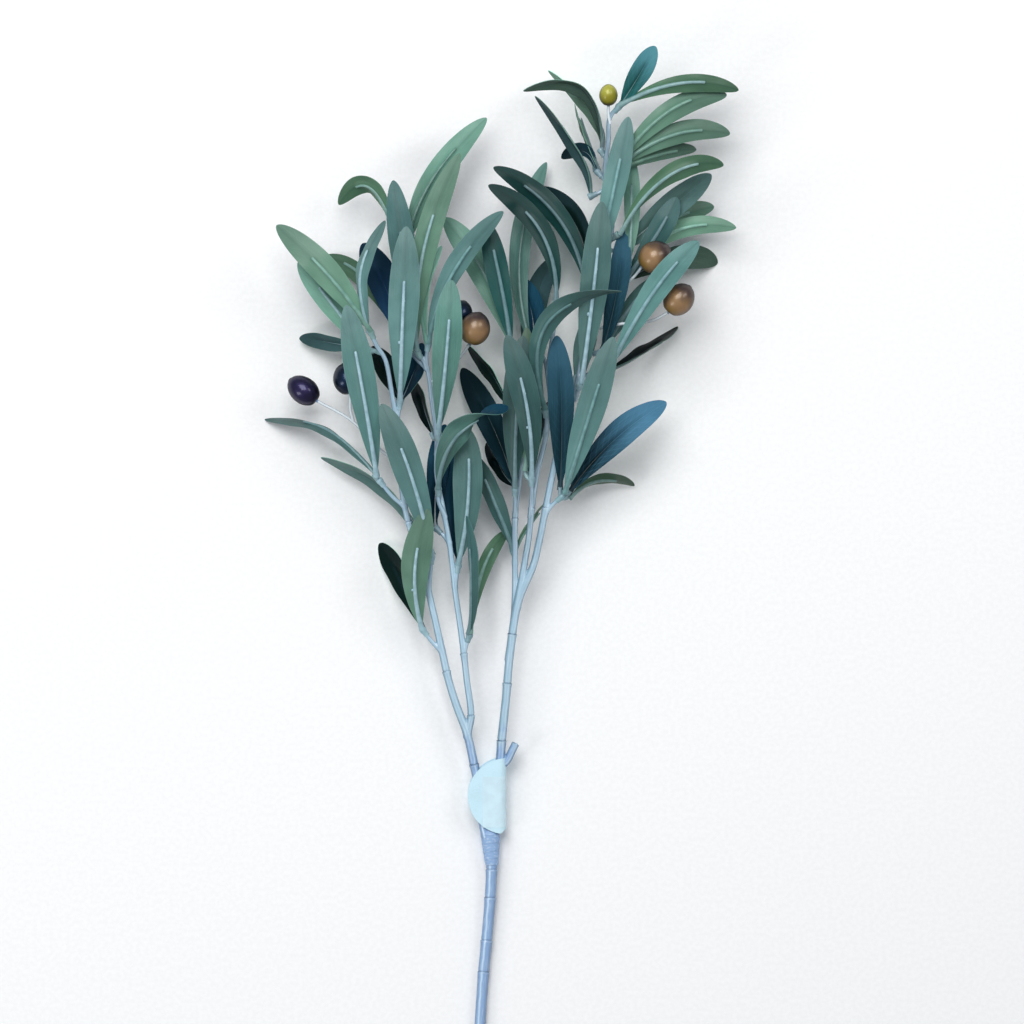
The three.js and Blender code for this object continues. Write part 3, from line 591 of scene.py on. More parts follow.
def leaf_cloth(name, colours, pale):
    """Polyester cloth, printed, then stiffened with a satin resin: an even, softly shining leaf."""
    made, tree, shader, where = new_material(name, {
        "IOR": 1.45, "Specular IOR Level": 0.36 if pale else 0.22})
    if pale:
        feed(shader, {"Coat Weight": 0.07, "Coat Roughness": 0.25})
    else:
        feed(shader, {"Specular Tint": opaque("#7fb0cf")})
    along, across, tone = (node(tree, "Attribute", (), "Fac", attribute_name=own)
                           for own in ("along", "across", "tone"))
    off_middle = node(tree, "Math", (across,), **SIZE)
    base, tip = (srgb(code) for code in colours[:2])
    # From base to tip; where a dark shade turns lighter and bluer, that is a painted sheen.
    colour = node(tree, "ValToRGB", (along,), stops=((0.08 if pale else 0.2, base), (0.92, tip)))

    blotch_mm = 14
    blotches = node(tree, "TexNoise", {"Vector": where, "Scale": 1000 / blotch_mm, "Detail": 4.0})
    colour = layer(tree, colour, blotches, 2.4, -1.0, 1.0, "#dde3e5", "MULTIPLY")

    # Printed threads run the length of the leaf.
    streak_mm, run_mm = 2 / 3, 50 / 3
    cloth = node(tree, "UVMap", (), uv_map="cloth")
    fibre = node(tree, "Mapping", {
        "Vector": cloth, "Scale": (1000 / streak_mm, 1000 / run_mm, 1.0)})
    streaks = node(tree, "TexNoise", {"Vector": fibre, "Scale": 1.0, "Detail": 3.0})
    light = scaled(tip, 1.6, 0.015 if pale else 0.001)
    colour = layer(tree, colour, streaks, 0.5, -0.17, 1.0, light)

    # Side veins are pressed in, and slant towards the tip.
    vein_mm = 5.5
    aside, ahead = (node(tree, "SeparateXYZ", (cloth,), axis) for axis in "XY")
    aside = node(tree, "Math", (aside,), **SIZE)
    slant = node(tree, "Math", (aside, -1.7, ahead), **LINE)
    waver = node(tree, "Math", (blotches, 0.003, slant), **LINE)
    count = node(tree, "Math", (waver, 1000 / vein_mm), **TIMES)
    beside = node(tree, "Math", (count, 0.5), operation="PINGPONG")
    colour = layer(tree, colour, beside, -9.0, 1.0, 0.07 if pale else 0.13, light)

    if pale:
        # Painted light: a faint lighter line along the cut edge, where light shows through the thin
        # cloth.
        colour = layer(tree, colour, off_middle, 16.0, -15.1, 0.4, scaled(tip, 1.6, 0.04))
        # Painted shade: the cloth is darker beside the rib.
        colour = layer(tree, colour, off_middle, -3.2, 1.0, 0.6, "#cedada", "MULTIPLY")
    else:
        # The crease down the middle is darker, with a hairline where the print has cracked.
        faded = node(tree, "Math", (along, -1.6, 1.45), **FIT)
        colour = layer(tree, colour, off_middle, -3.4, 1.0, faded, colours[2])
        colour = layer(tree, colour, off_middle, -30.0, 1.0, 0.3, scaled(tip, 1.8, 0.004))
    # Each leaf's tone: partly its print, partly painted shade and light.
    colour = node(tree, "VectorMath", {0: colour, "Scale": tone}, operation="SCALE")

    # Threads lie 0.25 mm apart; they are drawn three times as coarse, which is as fine as can show.
    # At a scale of 1 the texture's waves are 0.31 mm long.
    thread_mm, wave_mm = 0.75, 0.31
    threads = node(tree, "Mapping", {"Vector": cloth, "Scale": (1000.0, 1000.0, 1.0)})
    weft, warp = (node(tree, "TexWave", {"Vector": threads, "Scale": wave_mm / thread_mm}, "Fac",
                       bands_direction=axis) for axis in "XY")
    weave = node(tree, "Math", (weft, warp), **TIMES)
    height = node(tree, "Math", (blotches, 6.0, weave), **LINE)
    vein = node(tree, "Math", (beside, -9.0, 1.0), **FIT)
    height = node(tree, "Math", (vein, 1.2, height), **LINE)
    feed(shader, {
        "Base Color": colour,
        "Roughness": node(tree, "Math", (blotches, 0.22, 0.36 if pale else 0.3), **LINE),
        "Normal": node(tree, "Bump", {"Height": height, "Strength": 0.4, "Distance": 0.00007})})
    return made


def moulded_rib():
    """Polyethylene, injection moulded: waxy, slightly clouded, and partly covered by the print."""
    made, tree, shader, where = new_material("moulded_polyethylene_rib", {
        "IOR": 1.51, "Roughness": 0.34})
    tint = node(tree, "Attribute", (), "Color", attribute_name="tint")
    cloud_mm = 4
    clouds = node(tree, "TexNoise", {"Vector": where, "Scale": 1000 / cloud_mm, "Detail": 3.0})
    feed(shader, {
        "Base Color": layer(tree, tint, clouds, 3.0, -1.1, 1.0, "#d4dddf", "MULTIPLY"),
        "Normal": node(tree, "Bump", {"Height": clouds, "Strength": 0.3, "Distance": 0.0002})})
    return made


def stem_plastic(name, low, high, taped=False):
    """Painted polyethylene over wire: a glossy blue-grey skin with flow marks along the grain.

    The crepe tape has the same paint over it, and is dull and wrinkled.
    """
    made, tree, shader, where = new_material(name, {
        "IOR": 1.5, "Coat Weight": 0.0 if taped else 0.35, "Coat Roughness": 0.16})
    x, y = (node(tree, "SeparateXYZ", (where,), axis) for axis in "XY")
    wear_mm = 8
    wear = node(tree, "TexNoise", {"Vector": where, "Scale": 1000 / wear_mm, "Detail": 5.0})
    # The colour changes with the height up the spray, unevenly where the paint is worn. Its last,
    # darker step among the leaves is painted shade.
    span = CAD_BOX[1][1] - CAD_BOX[0][1]
    height = node(tree, "Math", (y, 1 / span, 0.46), **LINE)
    height = node(tree, "Math", (wear, 0.08, height), **LINE)
    # The painted shade among the leaves is lighter on the outer left stem and deeper on the inner
    # stems of the right branch.
    paler = node(tree, "Math", (x, -4.0, -0.12), **FIT)
    height = node(tree, "Math", (height, paler), operation="SUBTRACT")
    inner = node(tree, "Math", (node(tree, "Math", (x, -0.013), **PLUS),), **SIZE)
    inner = node(tree, "Math", (inner, -70.0, 1.1), **FIT)
    inner = node(tree, "Math", (inner, node(tree, "Math", (y, 30.0, 0.0), **FIT)), **TIMES)
    height = node(tree, "Math", (inner, 0.14, height), **LINE)
    # Lavender by the cut end, pale above, and darker among the leaves, which is painted shade.
    colour = node(tree, "ValToRGB", (height,),
                  stops=((0.345, low), (0.375, high), (0.52, high), (0.7, scaled(high, 0.62))))

    # Flow marks: a grain eight times as long as it is wide.
    flow_mm = 1.1
    if taped:
        grain = node(tree, "Mapping", {"Vector": where, "Scale": (0.35, 1.0, 1.0)})
    else:
        own = node(tree, "Attribute", (), "Vector", attribute_name="grain")
        grain = node(tree, "Mapping", {"Vector": own, "Scale": (1.0, 1.0, 0.12)})
    flow = node(tree, "TexNoise", {"Vector": grain, "Scale": 1000 / flow_mm, "Detail": 4.0})
    colour = layer(tree, colour, flow, 3.4, -1.75, 0.7 if taped else 0.5, "#d3e6f1")
    colour = layer(tree, colour, flow, -3.4, 1.35, 0.6, "#6f8cae")
    colour = layer(tree, colour, wear, 2.2, -1.15, 0.55, "#7f98b4")
    height = flow
    if not taped:
        # Painted highlight: a pale strip runs up the main stem's left and the branches' right.
        forked = node(tree, "Math", (y, 20.0, 2.9), **FIT)
        shift = node(tree, "Math", (forked, -0.0021, 0.0001), **LINE)
        sides = node(tree, "Math", (wear, 0.0018, node(tree, "SeparateXYZ", (own,), "X")), **LINE)
        painted_highlight = node(tree, "Math", (node(tree, "Math", (sides, shift), **PLUS),), **SIZE)
        colour = layer(tree, colour, painted_highlight, -1150.0, 1.0, 0.7, "#cfe9f8")
        # Painted shade: on the branches the other side is darker and greyer.
        colour = layer(tree, colour, sides, -520.0, 0.1, forked, "#cbd7d7", "MULTIPLY")
        # Just above each ring runs a fine dark groove, and its lip catches the light.
        ring = node(tree, "Attribute", (), "Fac", attribute_name="ring")
        ring = node(tree, "Math", (wear, 0.0012, ring), **LINE)
        above = node(tree, "Math", (node(tree, "Math", (ring, -0.001), **PLUS),), **SIZE)
        on_lip = node(tree, "Math", (ring,), **SIZE)
        shadow = node(tree, "Math", (wear, 2.0, -0.55), **FIT)
        colour = layer(tree, colour, above, -2100.0, 1.1, shadow, "#58718c")
        colour = layer(tree, colour, on_lip, -2200.0, 1.0, 0.22, "#dceaf3")
        groove = node(tree, "Math", (above, -2100.0, 1.1), **FIT)
        height = node(tree, "Math", (groove, -1.5, height), **LINE)
        # The olives' stalks are bare: nearly white.
        thin = node(tree, "Attribute", (), "Fac", attribute_name="thin")
        colour = layer(tree, colour, thin, 1.0, 0.0, 0.85, "#e6eef2")
        # Painted shade: the flanks and undersides are darker than the tops.
        up = node(tree, "SeparateXYZ", (node(tree, "TexCoord", (), "Normal"),), "Z")
        colour = layer(tree, colour, up, -1.7, 1.5, 1.0, "#aabcc8", "MULTIPLY")
    feed(shader, {
        "Base Color": colour,
        "Roughness": node(tree, "Math", (wear, 0.25, 0.5 if taped else 0.2), **LINE),
        "Normal": node(tree, "Bump", {"Height": height, "Strength": 0.45, "Distance": 0.00025})})
    return made


def olive_paint(name, codes):
    """Foam fruit dipped in lacquer: three colours that run together, specks and a soft shine."""
    stalk, middle, end, sheen = (srgb(code) for code in codes)
    made, tree, shader, where = new_material(name, {
        "IOR": 1.5, "Specular Tint": opaque(sheen), "Coat Roughness": 0.14})
    along = node(tree, "Attribute", (), "Fac", attribute_name="along")
    drift_mm = 11
    drift = node(tree, "TexNoise", {"Vector": where, "Scale": 1000 / drift_mm, "Detail": 2.0})
    moved = node(tree, "Math", (drift, 0.5, -0.25), **LINE)
    moved = node(tree, "Math", (moved, along), **PLUS)
    colour = node(tree, "ValToRGB", (moved,),
                  stops=((0.02, stalk), (0.32, middle), (0.5, middle), (0.86, end)))
    # Specks gather in patches.
    speck_mm, patch_mm = 1.6, 6.25
    specks = node(tree, "TexVoronoi", {"Vector": where, "Scale": 1000 / speck_mm}, "Distance")
    patches = node(tree, "TexNoise", {"Vector": where, "Scale": 1000 / patch_mm, "Detail": 1.0})
    some = node(tree, "Math", (patches, 5.0, -2.7), **FIT)
    some = node(tree, "Math", (some, 0.55), **TIMES)
    colour = layer(tree, colour, specks, -7.0, 1.35, some, scaled(stalk, 0.35))
    # Painted shade: each olive's flanks and underside are darker. Its lacquer is thick on top.
    up = node(tree, "SeparateXYZ", (node(tree, "TexCoord", (), "Normal"),), "Z")
    colour = layer(tree, colour, up, -1.6, 1.15, 1.0, "#958e90", "MULTIPLY")
    thick = node(tree, "Math", (up, 1.3, -0.15), **FIT)
    feed(shader, {
        "Base Color": colour,
        "Coat Weight": node(tree, "Math", (thick, 0.42, 0.03), **LINE),
        "Specular IOR Level": node(tree, "Math", (thick, 0.75, 0.08), **LINE),
        "Roughness": node(tree, "Math", (drift, 0.18, 0.31), **LINE),
        "Normal": node(tree, "Bump", {"Height": patches, "Strength": 0.25, "Distance": 0.0008})})
    return made


def card_stock(colour):
    """Uncoated card, pulped and pressed: dead matt, with fine fibres and a pale core."""
    made, tree, shader, where = new_material("pressed_card", {"Roughness": 0.82, "IOR": 1.45})
    fibre_mm, cloud_mm = 0.9, 16
    fibres = node(tree, "TexNoise", {"Vector": where, "Scale": 1000 / fibre_mm, "Detail": 4.0})
    clouds = node(tree, "TexNoise", {"Vector": where, "Scale": 1000 / cloud_mm, "Detail": 2.0})
    tone = node(tree, "Math", (fibres, 0.5, clouds), **LINE)
    feed(shader, {
        "Base Color": node(tree, "ValToRGB", (tone,),
                           stops=((0.45, scaled(colour, 0.9)), (0.95, colour))),
        "Normal": node(tree, "Bump", {"Height": fibres, "Strength": 0.3, "Distance": 0.00008})})
    return made


def sticker_film(colour):
    """Thin paper label with a calendered face: a little brighter and smoother than the card."""
    made, tree, shader, where = new_material("label_paper", {"IOR": 1.47})
    lump_mm = 6
    lumps = node(tree, "TexNoise", {"Vector": where, "Scale": 1000 / lump_mm, "Detail": 3.0})
    feed(shader, {
        "Base Color": node(tree, "ValToRGB", (lumps,),
                           stops=((0.35, scaled(colour, 0.93)), (0.65, colour))),
        "Roughness": node(tree, "Math", (lumps, 0.2, 0.4), **LINE),
        "Normal": node(tree, "Bump", {"Height": lumps, "Strength": 0.2, "Distance": 0.0002})})
    return made


def studio_floor():
    """A roll of white background paper, uncoated: matt, and very slightly uneven."""
    made, tree, shader, where = new_material("background_paper", {"Roughness": 0.9})
    grain_mm = 2.5
    grain = node(tree, "TexNoise", {"Vector": where, "Scale": 1000 / grain_mm, "Detail": 2.0})
    white = node(tree, "ValToRGB", (grain,), stops=((0.3, "#f4f5f6"), (0.7, "#f8f9fa")))
    feed(shader, {"Base Color": white})
    return made


# ---- reading the CAD leaves ----

def welded(node_name):
    """A CAD node's corners with its loose triangles joined, and each corner's neighbours."""
    mesh = frame["nodes"][node_name].data
    rows = places(mesh)
    keys = {}
    number = []
    for row in rows:
        number.append(keys.setdefault(tuple(np.round(row, 6)), len(keys)))
    corners = np.array(list(keys))
    near = [set() for _ in keys]
    for face in mesh.polygons:
        ring = {number[i] for i in face.vertices}
        for i in ring:
            near[i] |= ring - {i}
    return corners, near


class Leaf:
    """One CAD leaf: the parabola that its middle follows, its half width and how it turns."""

    def __init__(self, tip, sections):
        shares = np.array(SECTION_SHARES[:len(sections)][::-1])
        sections = sections[::-1]
        middles, normals, halves = [], [], []
        for section in sections:
            width, i, j = max((np.linalg.norm(section[i] - section[j]), i, j)
                              for i in range(4) for j in range(i))
            middle = (section[i] + section[j]) / 2
            others = [section[k] - middle for k in range(4) if k not in (i, j)]
            if normals:
                others.sort(key=lambda v: -(v @ normals[-1]) / np.linalg.norm(v))
            else:
                others.sort(key=lambda v: -np.linalg.norm(v))  # the rib stands out farther
            middles.append(middle)
            halves.append(width / 2)
            normals.append(unit(others[0]))
        t = np.append(shares, 1.0)
        powers = np.stack([np.ones_like(t), t, t * t], 1)
        self.curve = np.linalg.lstsq(powers, np.array([*middles, tip]), rcond=None)[0]
        self.half = max(halves)
        self.tip = tip
        side, level = level_frame(self.course(shares))
        normals = np.array(normals)
        turns = np.unwrap(np.arctan2((normals * side).sum(1), (normals * level).sum(1)))
        steps = np.stack([np.ones_like(shares), shares.clip(0, 0.5), (shares - 0.5).clip(0, 1)], 1)
        self.turning = np.linalg.lstsq(steps, turns, rcond=None)[0]
        middle_line = self.point(np.linspace(0, 1, 30))
        self.length = float(np.linalg.norm(np.diff(middle_line, axis=0), axis=1).sum())

    def point(self, t):
        t = np.atleast_1d(t)
        return np.stack([np.ones_like(t), t, t * t], 1) @ self.curve

    def course(self, t):
        t = np.atleast_1d(t)
        return unit(np.stack([np.ones_like(t), 2 * t], 1) @ self.curve[1:])

    def turn(self, t):
        return self.turning @ np.stack([np.ones_like(t), t.clip(0, 0.5), (t - 0.5).clip(0, 1)])


def read_leaves(node_name):
    """The leaves of a CAD node, the one with the highest tip first."""
    corners, near = welded(node_name)
    leaves = []
    for tip in range(len(corners)):
        sections, seen, ring = [], {tip}, {tip}
        while len(near[tip]) == 4:
            ring = set().union(*(near[i] for i in ring)) - seen
            if len(ring) != 4 or len(sections) == len(SECTION_SHARES):
                break
            seen |= ring
            sections.append(corners[sorted(ring)])
        if len(sections) >= 3:
            leaves.append(Leaf(corners[tip], sections))
    return sorted(leaves, key=lambda leaf: -leaf.tip[2])


# ---- leaves ----

def outline(t):
    """A leaf's width at a share of its length: a long taper from the base and a full, blunt tip."""
    if t < WIDEST:
        return max(0.05, (1 - (1 - t / WIDEST) ** 1.75) ** 0.9)
    return (1 - min(1, (t - WIDEST) / (1 - WIDEST)) ** 2.2) ** 0.58


def blade_template(sizes):
    """A flat blade: x is a share of the half width, y a share of the length, z is in metres."""
    along = 56
    narrowest = 1e-4  # the tip's last row keeps a width until its corners are merged
    blade = added(bpy.ops.mesh.primitive_grid_add, "blade", x_subdivisions=16,
                  y_subdivisions=along, size=2)
    bpy.ops.object.mode_set(mode="EDIT")
    bpy.ops.transform.resize(value=(1, 0.5, 1), center_override=(0, 0, 0))
    bpy.ops.transform.translate(value=(0, 0.5, 0))
    # Row by row the blade gets its width, and the rows move closer together towards the tip. A row
    # that is done is lifted out of the way of the next.
    for row in range(along, -1, -1):
        even = row / along
        place = 1 - (1 - even) ** 1.5
        wide = max(narrowest, outline(place))
        select_where(blade, lambda co, y=even: abs(co.y - y) < 0.2 / along and co.z == 0)
        bpy.ops.transform.resize(value=(wide, 1, 1), center_override=(0, even, 0))
        bpy.ops.transform.translate(value=(0, place - even, 1))
    bpy.ops.mesh.select_all(action="SELECT")
    bpy.ops.transform.translate(value=(0, 0, -1))
    outward(blade, merge=1e-3)
    if blade.data.polygons[0].normal.z < 0:
        blade.data.flip_normals()
    modifier(blade, "SOLIDIFY", thickness=sizes.cloth, offset=0)
    for face in blade.data.polygons:
        face.material_index = int(face.normal.z < -0.5)
    # The columns are closest together by the rib, where the cloth bends most.
    rows = places(blade.data)
    shares = np.array([outline(y) for y in rows[:, 1]]).clip(narrowest)
    across = (rows[:, 0] / shares).clip(-1, 1)
    across *= np.abs(across) ** 0.5
    rows[:, 0] = across * shares
    move_to(blade.data, rows)
    mark(blade.data, along=rows[:, 1], across=across)
    return blade


def rib_template(sizes):
    """The rib that carries the blade: round at the base, low and blunt at its end."""
    rows = []
    steps = 30
    for i in range(steps + 1):
        t = i / steps
        slim = 1.12 - 0.52 * t ** 0.8 + 0.3 * max(0, 1 - 9 * t)
        rows.append((sizes.rib_share * t, sizes.rib_width * slim, sizes.rib_height * slim))
    end, width, height = rows[-1]
    rows += [(end + further, width * wide, height * high)
             for further, wide, high in ((0.008, 0.9, 0.7), (0.011, 0.4, 0.3))]
    rib = drawn_tube("rib", rows, 12)
    # Its underside, which is glued to the cloth, is nearly flat.
    bpy.ops.object.mode_set(mode="EDIT")
    select_where(rib, lambda co: co.z < -1e-5)
    bpy.ops.transform.resize(value=(1, 1, 0.25), center_override=(0, 0, 0))
    bpy.ops.object.mode_set(mode="OBJECT")
    mark(rib.data, along=places(rib.data)[:, 1])
    return rib


def lay_on(mesh, leaf, sizes, seed, shaped):
    """Bends a template along a leaf. A shaped one takes the leaf's width, fold and ripples.

    Every leaf is creased and waved a little differently, by its seed.
    """
    chance = random.Random(seed)
    waves, phase, drift, lean, fold, hang, lop, reach = (
        chance.uniform(*limits) for limits in HABITS.values())
    rows = places(mesh)
    x, t, z = rows.T
    if not shaped:
        t = t * (1 + reach / sizes.rib_share)
    side, level = level_frame(leaf.course(t))
    turn = leaf.turn(t) + lean * np.sin(math.pi * t)
    turn = turn[:, None]
    across = side * np.cos(turn) - level * np.sin(turn)
    normal = level * np.cos(turn) + side * np.sin(turn)
    free = (4 * t * (1 - t)).clip(0, 1)
    lift = sizes.ridge + sizes.sway * drift * free * np.sin(2 * math.pi * t + phase)
    # Beyond the rib the cloth hangs, but not as far as the floor.
    most = min(sizes.droop * hang, max(0.0, leaf.tip[2] - TIP_GAP))
    end = sizes.rib_share + reach - 0.02
    fall = -most * ((t - end) / (1 - end)).clip(0, 1) ** (1.15 + 0.5 * hang)
    if shaped:
        half, edge = np.sign(x), np.abs(x)
        # The cloth stands up in a narrow ridge over the rib, which dies away where the rib ends.
        ridge = np.exp(-(x * leaf.half / RIDGE_WIDTH) ** 2) * ((end + 0.05 - t) / 0.1).clip(0, 1)
        lift = lift - sizes.ridge * (1 - ridge)
        lift = lift - sizes.fold * fold * leaf.half * edge ** 1.2 * (0.5 + 0.5 * free)
        ripple = sizes.ripple * (leaf.half / BROAD_LEAF) ** 1.5 * free * edge ** 2
        lift = lift + ripple * np.sin(2 * math.pi * waves * t + phase + half)
        # Each half is cut a little wider or narrower, and its edge wavers.
        waver = 0.025 * np.sin(9 * t + phase + 2 * half) * free
        x = x * leaf.half * (1 + lop * half + waver)
        cloth = mesh.uv_layers.get("cloth") or mesh.uv_layers.new(name="cloth")
        corner = np.empty(len(mesh.loops), np.int32)
        mesh.loops.foreach_get("vertex_index", corner)
        cloth.data.foreach_set("uv", np.stack([x[corner], t[corner] * leaf.length], 1).ravel())
    laid = leaf.point(t) + across * x[:, None] + normal * (z + lift)[:, None] + np.outer(fall, UP)
    # Where it would dip into the floor it lies flat, its upper face a cloth's thickness higher.
    laid[:, 2] = laid[:, 2].clip(FLOOR_GAP + sizes.cloth * (normal[:, 2] * z > 0))
    move_to(mesh, laid)


def spots(points):
    """Places a millimetre apart along a stem's route."""
    p = in_metres(points)
    far = np.r_[0, np.cumsum(np.linalg.norm(np.diff(p, axis=0), axis=1))]
    at = np.arange(0, far[-1], 0.001)
    return np.stack([np.interp(at, far, p[:, i]) for i in range(3)], 1)


def holder(ends, stems, base):
    """Where a leaf is held, the way its collar points, and the stem's middle if an arm leads there.

    A leaf sits on the end of the nearest twig, or on an arm of its own if no twig ends near it.
    """
    point, before = ends[np.argmin([np.linalg.norm(end - base) for end, _ in ends])]
    if np.linalg.norm(point - base) < TWIG_REACH:
        course = unit(point - before)
        return point - course * TWIG_SEAT, course, None
    root = stems[max(0, np.argmin(np.linalg.norm(stems - base, axis=1)) - ARM_LEAD)]
    course = unit(base - root)
    return base - course * ARM_SEAT, course, root


def mounting(leaf, collar, arm, ends, stems, taken):
    """What holds a leaf: its sprig's collar, if it is the first one there, and its arms."""
    base, out = leaf.point(0.0)[0], leaf.course(0.0)[0]
    end, course, root = holder(ends, stems, base)
    parts, arms = [], []
    if all(np.linalg.norm(end - other) >= SAME_SPRIG for other in taken):
        taken.append(end)
        parts.append(copied(collar, "ring"))
        aim(parts[0].data, end, course)
        if root is not None:
            arms.append(((root, (root + end) / 2 + out * 0.001, end), (1.2, 1)))
    reach = np.linalg.norm(base - end)
    if reach > LOOSE_BASE:
        arms.append(((end + course * 0.0005, base - out * reach * 0.6, base + out * 0.002), (1, 1)))
    for points, widths in arms:
        parts.append(copied(arm, "stay"))
        along_route(parts[-1].data, points, widths)
    return parts


def aim(mesh, place, course):
    """Turns a shape that is built along +Y to a new direction and moves it there."""
    turn = Vector((0, 1, 0)).rotation_difference(Vector(course)).to_matrix().to_4x4()
    mesh.transform(Matrix.Translation(Vector(place)) @ turn)


class SPRAY_OT_leaves(bpy.types.Operator):
    """Cloth leaves with moulded ribs, sprig by sprig, each sprig with its collar or arms."""
    bl_idname = "spray.leaves"
    bl_label = "Leaves"

    def execute(self, context):
        sizes, stems = context.scene.spray_leaf, context.scene.spray_stem
        shades = {**PALE_SHADES, **DARK_SHADES}
        cloths = {name: leaf_cloth(f"resin_cloth_{name}", colours, name in PALE_SHADES)
                  for name, colours in shades.items()}
        rib_plastic = moulded_rib()
        blade, rib = blade_template(sizes), rib_template(sizes)
        collar = drawn_tube("collar", [(place, stems.collar * width, stems.collar * width)
                                       for place, width in COLLAR], 20)
        arm = drawn_tube("arm", [(i / 10, stems.arm, stems.arm) for i in range(11)], 12)
        # A drop of glue is drawn out along the rib; its length is a share of the leaf's.
        bead = added(bpy.ops.mesh.primitive_uv_sphere_add, "bead", segments=14, ring_count=8,
                     radius=0.0009)
        bead.data.transform(Matrix.Diagonal((0.9, 12.0, 0.8, 1)))
        routes = [points for name in BRANCH_NODES for radii, _, points in ROUTES[name]
                  if radii is not STALK]
        ends = [in_metres(points[:-3:-1]) for points in routes]
        middles = np.vstack([spots(points) for points in routes])
        taken, count = [], 0
        for node_name in LEAF_NODES:
            leaves = read_leaves(node_name)
            if len(leaves) != len(SHADES[node_name]):
                raise RuntimeError(f"{node_name} has {len(leaves)} leaves, and "
                                   f"{len(SHADES[node_name])} shades")
            parts = []
            for leaf, (shade, tone, bare) in zip(leaves, SHADES[node_name]):
                count += 1
                cloth = copied(blade, "cloth")
                cloth.data.materials.append(cloths[shade if shade in PALE_SHADES else PLAIN_FRONT])
                cloth.data.materials.append(cloths[shade if shade in DARK_SHADES else PLAIN_BACK])
                lay_on(cloth.data, leaf, sizes, count, shaped=True)
                mark(cloth.data, tone=np.full(len(cloth.data.vertices), tone))
                spine = copied(rib, "spine")
                lay_on(spine.data, leaf, sizes, count, shaped=False)
                plastic = [spine, *mounting(leaf, collar, arm, ends, middles, taken)]
                # A drop or two of clear glue has squeezed out beside the boldest ribs.
                for spot in GLUE_SPOTS[:count % 3 if bare > GLUED_RIB else 0]:
                    drop = copied(bead, "drop")
                    drop.data.transform(Matrix.Translation(spot))
                    lay_on(drop.data, leaf, sizes, count, shaped=False)
                    plastic.append(drop)
                printed = np.array(srgb(shades[shade][0])) * tone * PRINT_ON_RIB
                for part in plastic:
                    share = bare if part is spine else max(bare, BARE_COLLAR)
                    tint = (*(printed * (1 - share) + np.array(sizes.rib_colour) * share), 1.0)
                    part.data.materials.append(rib_plastic)
                    mark(part.data, tint=np.tile(tint, len(part.data.vertices)))
                parts += [cloth, *plastic]
            keep(joined(parts, f"cloth_{node_name}"), node_name)
        for template in (blade, rib, collar, arm, bead):
            bpy.data.objects.remove(template)
        return {"FINISHED"}


# ---- stems ----

class Course:
    """A smooth run through points, with its radius and its nearest ring at even steps."""

    def __init__(self, radii, rings, points, step, lip):
        # Between two points the run is a cubic, and at each of them it goes the way its pull says.
        p = in_metres(points)
        p = np.vstack([2 * p[0] - p[1], p, 2 * p[-1] - p[-2]])
        gap = np.linalg.norm(np.diff(p, axis=0), axis=1)[:, None] ** 0.5
        pull = np.diff(p, axis=0) / gap
        pull = pull[:-1] + pull[1:] - (p[2:] - p[:-2]) / (gap[:-1] + gap[1:])
        u = np.linspace(0, 1, 60, endpoint=False)[:, None]
        run = [(1 + 2 * u) * (1 - u) ** 2 * a + u * (1 - u) ** 2 * g * v
               + u * u * (3 - 2 * u) * b - u * u * (1 - u) * g * w
               for a, b, g, v, w in zip(p[1:-2], p[2:-1], gap[1:-1], pull[:-1], pull[1:])]
        run = np.vstack([*run, p[-2:-1]])
        far = np.r_[0, np.cumsum(np.linalg.norm(np.diff(run, axis=0), axis=1))]
        self.along = np.linspace(0, far[-1], int(far[-1] / step) + 2)
        self.points = np.stack([np.interp(self.along, far, run[:, i]) for i in range(3)], 1)
        self.course = unit(np.gradient(self.points, axis=0))
        self.side, self.level = level_frame(self.course)
        self.ring = np.full(len(self.along), 1.0)
        for place in rings:
            off = self.along - place / 1000
            self.ring = np.where(np.abs(off) < np.abs(self.ring), off, self.ring)
        start, end = radii
        self.thin = start < 1  # an olive's stalk
        thick = end + (start - end) * (1 - self.along / far[-1]) ** 1.3
        # The stem swells out towards a ring, drops into a fine groove above it, and evens out.
        swell, groove_place, groove_width, fade = 0.0022, 0.0004, 0.0005, 0.0025
        below = lip * np.exp(self.ring.clip(None, 0) / swell)
        above = lip * (0.25 - 0.65 * np.exp(-((self.ring - groove_place) / groove_width) ** 2))
        above = above * np.exp(-self.ring.clip(0) / fade)
        self.radius = thick / 1000 + np.where(self.ring < 0, below, above)

    def tube(self, name, around=12, every=3):
        """A closed tube along the course, with a place on the stem's own grain for each corner."""
        ends = [0, 0, *range(0, len(self.along), every), len(self.along) - 1, len(self.along) - 1]
        share = np.array([0, 0.9, *[1] * (len(ends) - 4), 0.9, 0])
        made = added(bpy.ops.mesh.primitive_grid_add, name, x_subdivisions=around,
                     y_subdivisions=len(ends) - 1, size=2)
        grid = places(made.data)
        turn = grid[:, :1] * math.pi
        row = np.rint((grid[:, 1] + 1) / 2 * (len(ends) - 1)).astype(int)
        at = np.array(ends)[row]
        out = self.side[at] * np.cos(turn) + self.level[at] * np.sin(turn)
        reach = (self.radius[at] * share[row])[:, None]
        move_to(made.data, self.points[at] + out * reach)
        grain = np.hstack([reach * np.cos(turn), reach * np.sin(turn), self.along[at][:, None]])
        mark(made.data, ring=self.ring[at], thin=np.full(len(at), float(self.thin)), grain=grain)
        return outward(made, merge=1e-6)


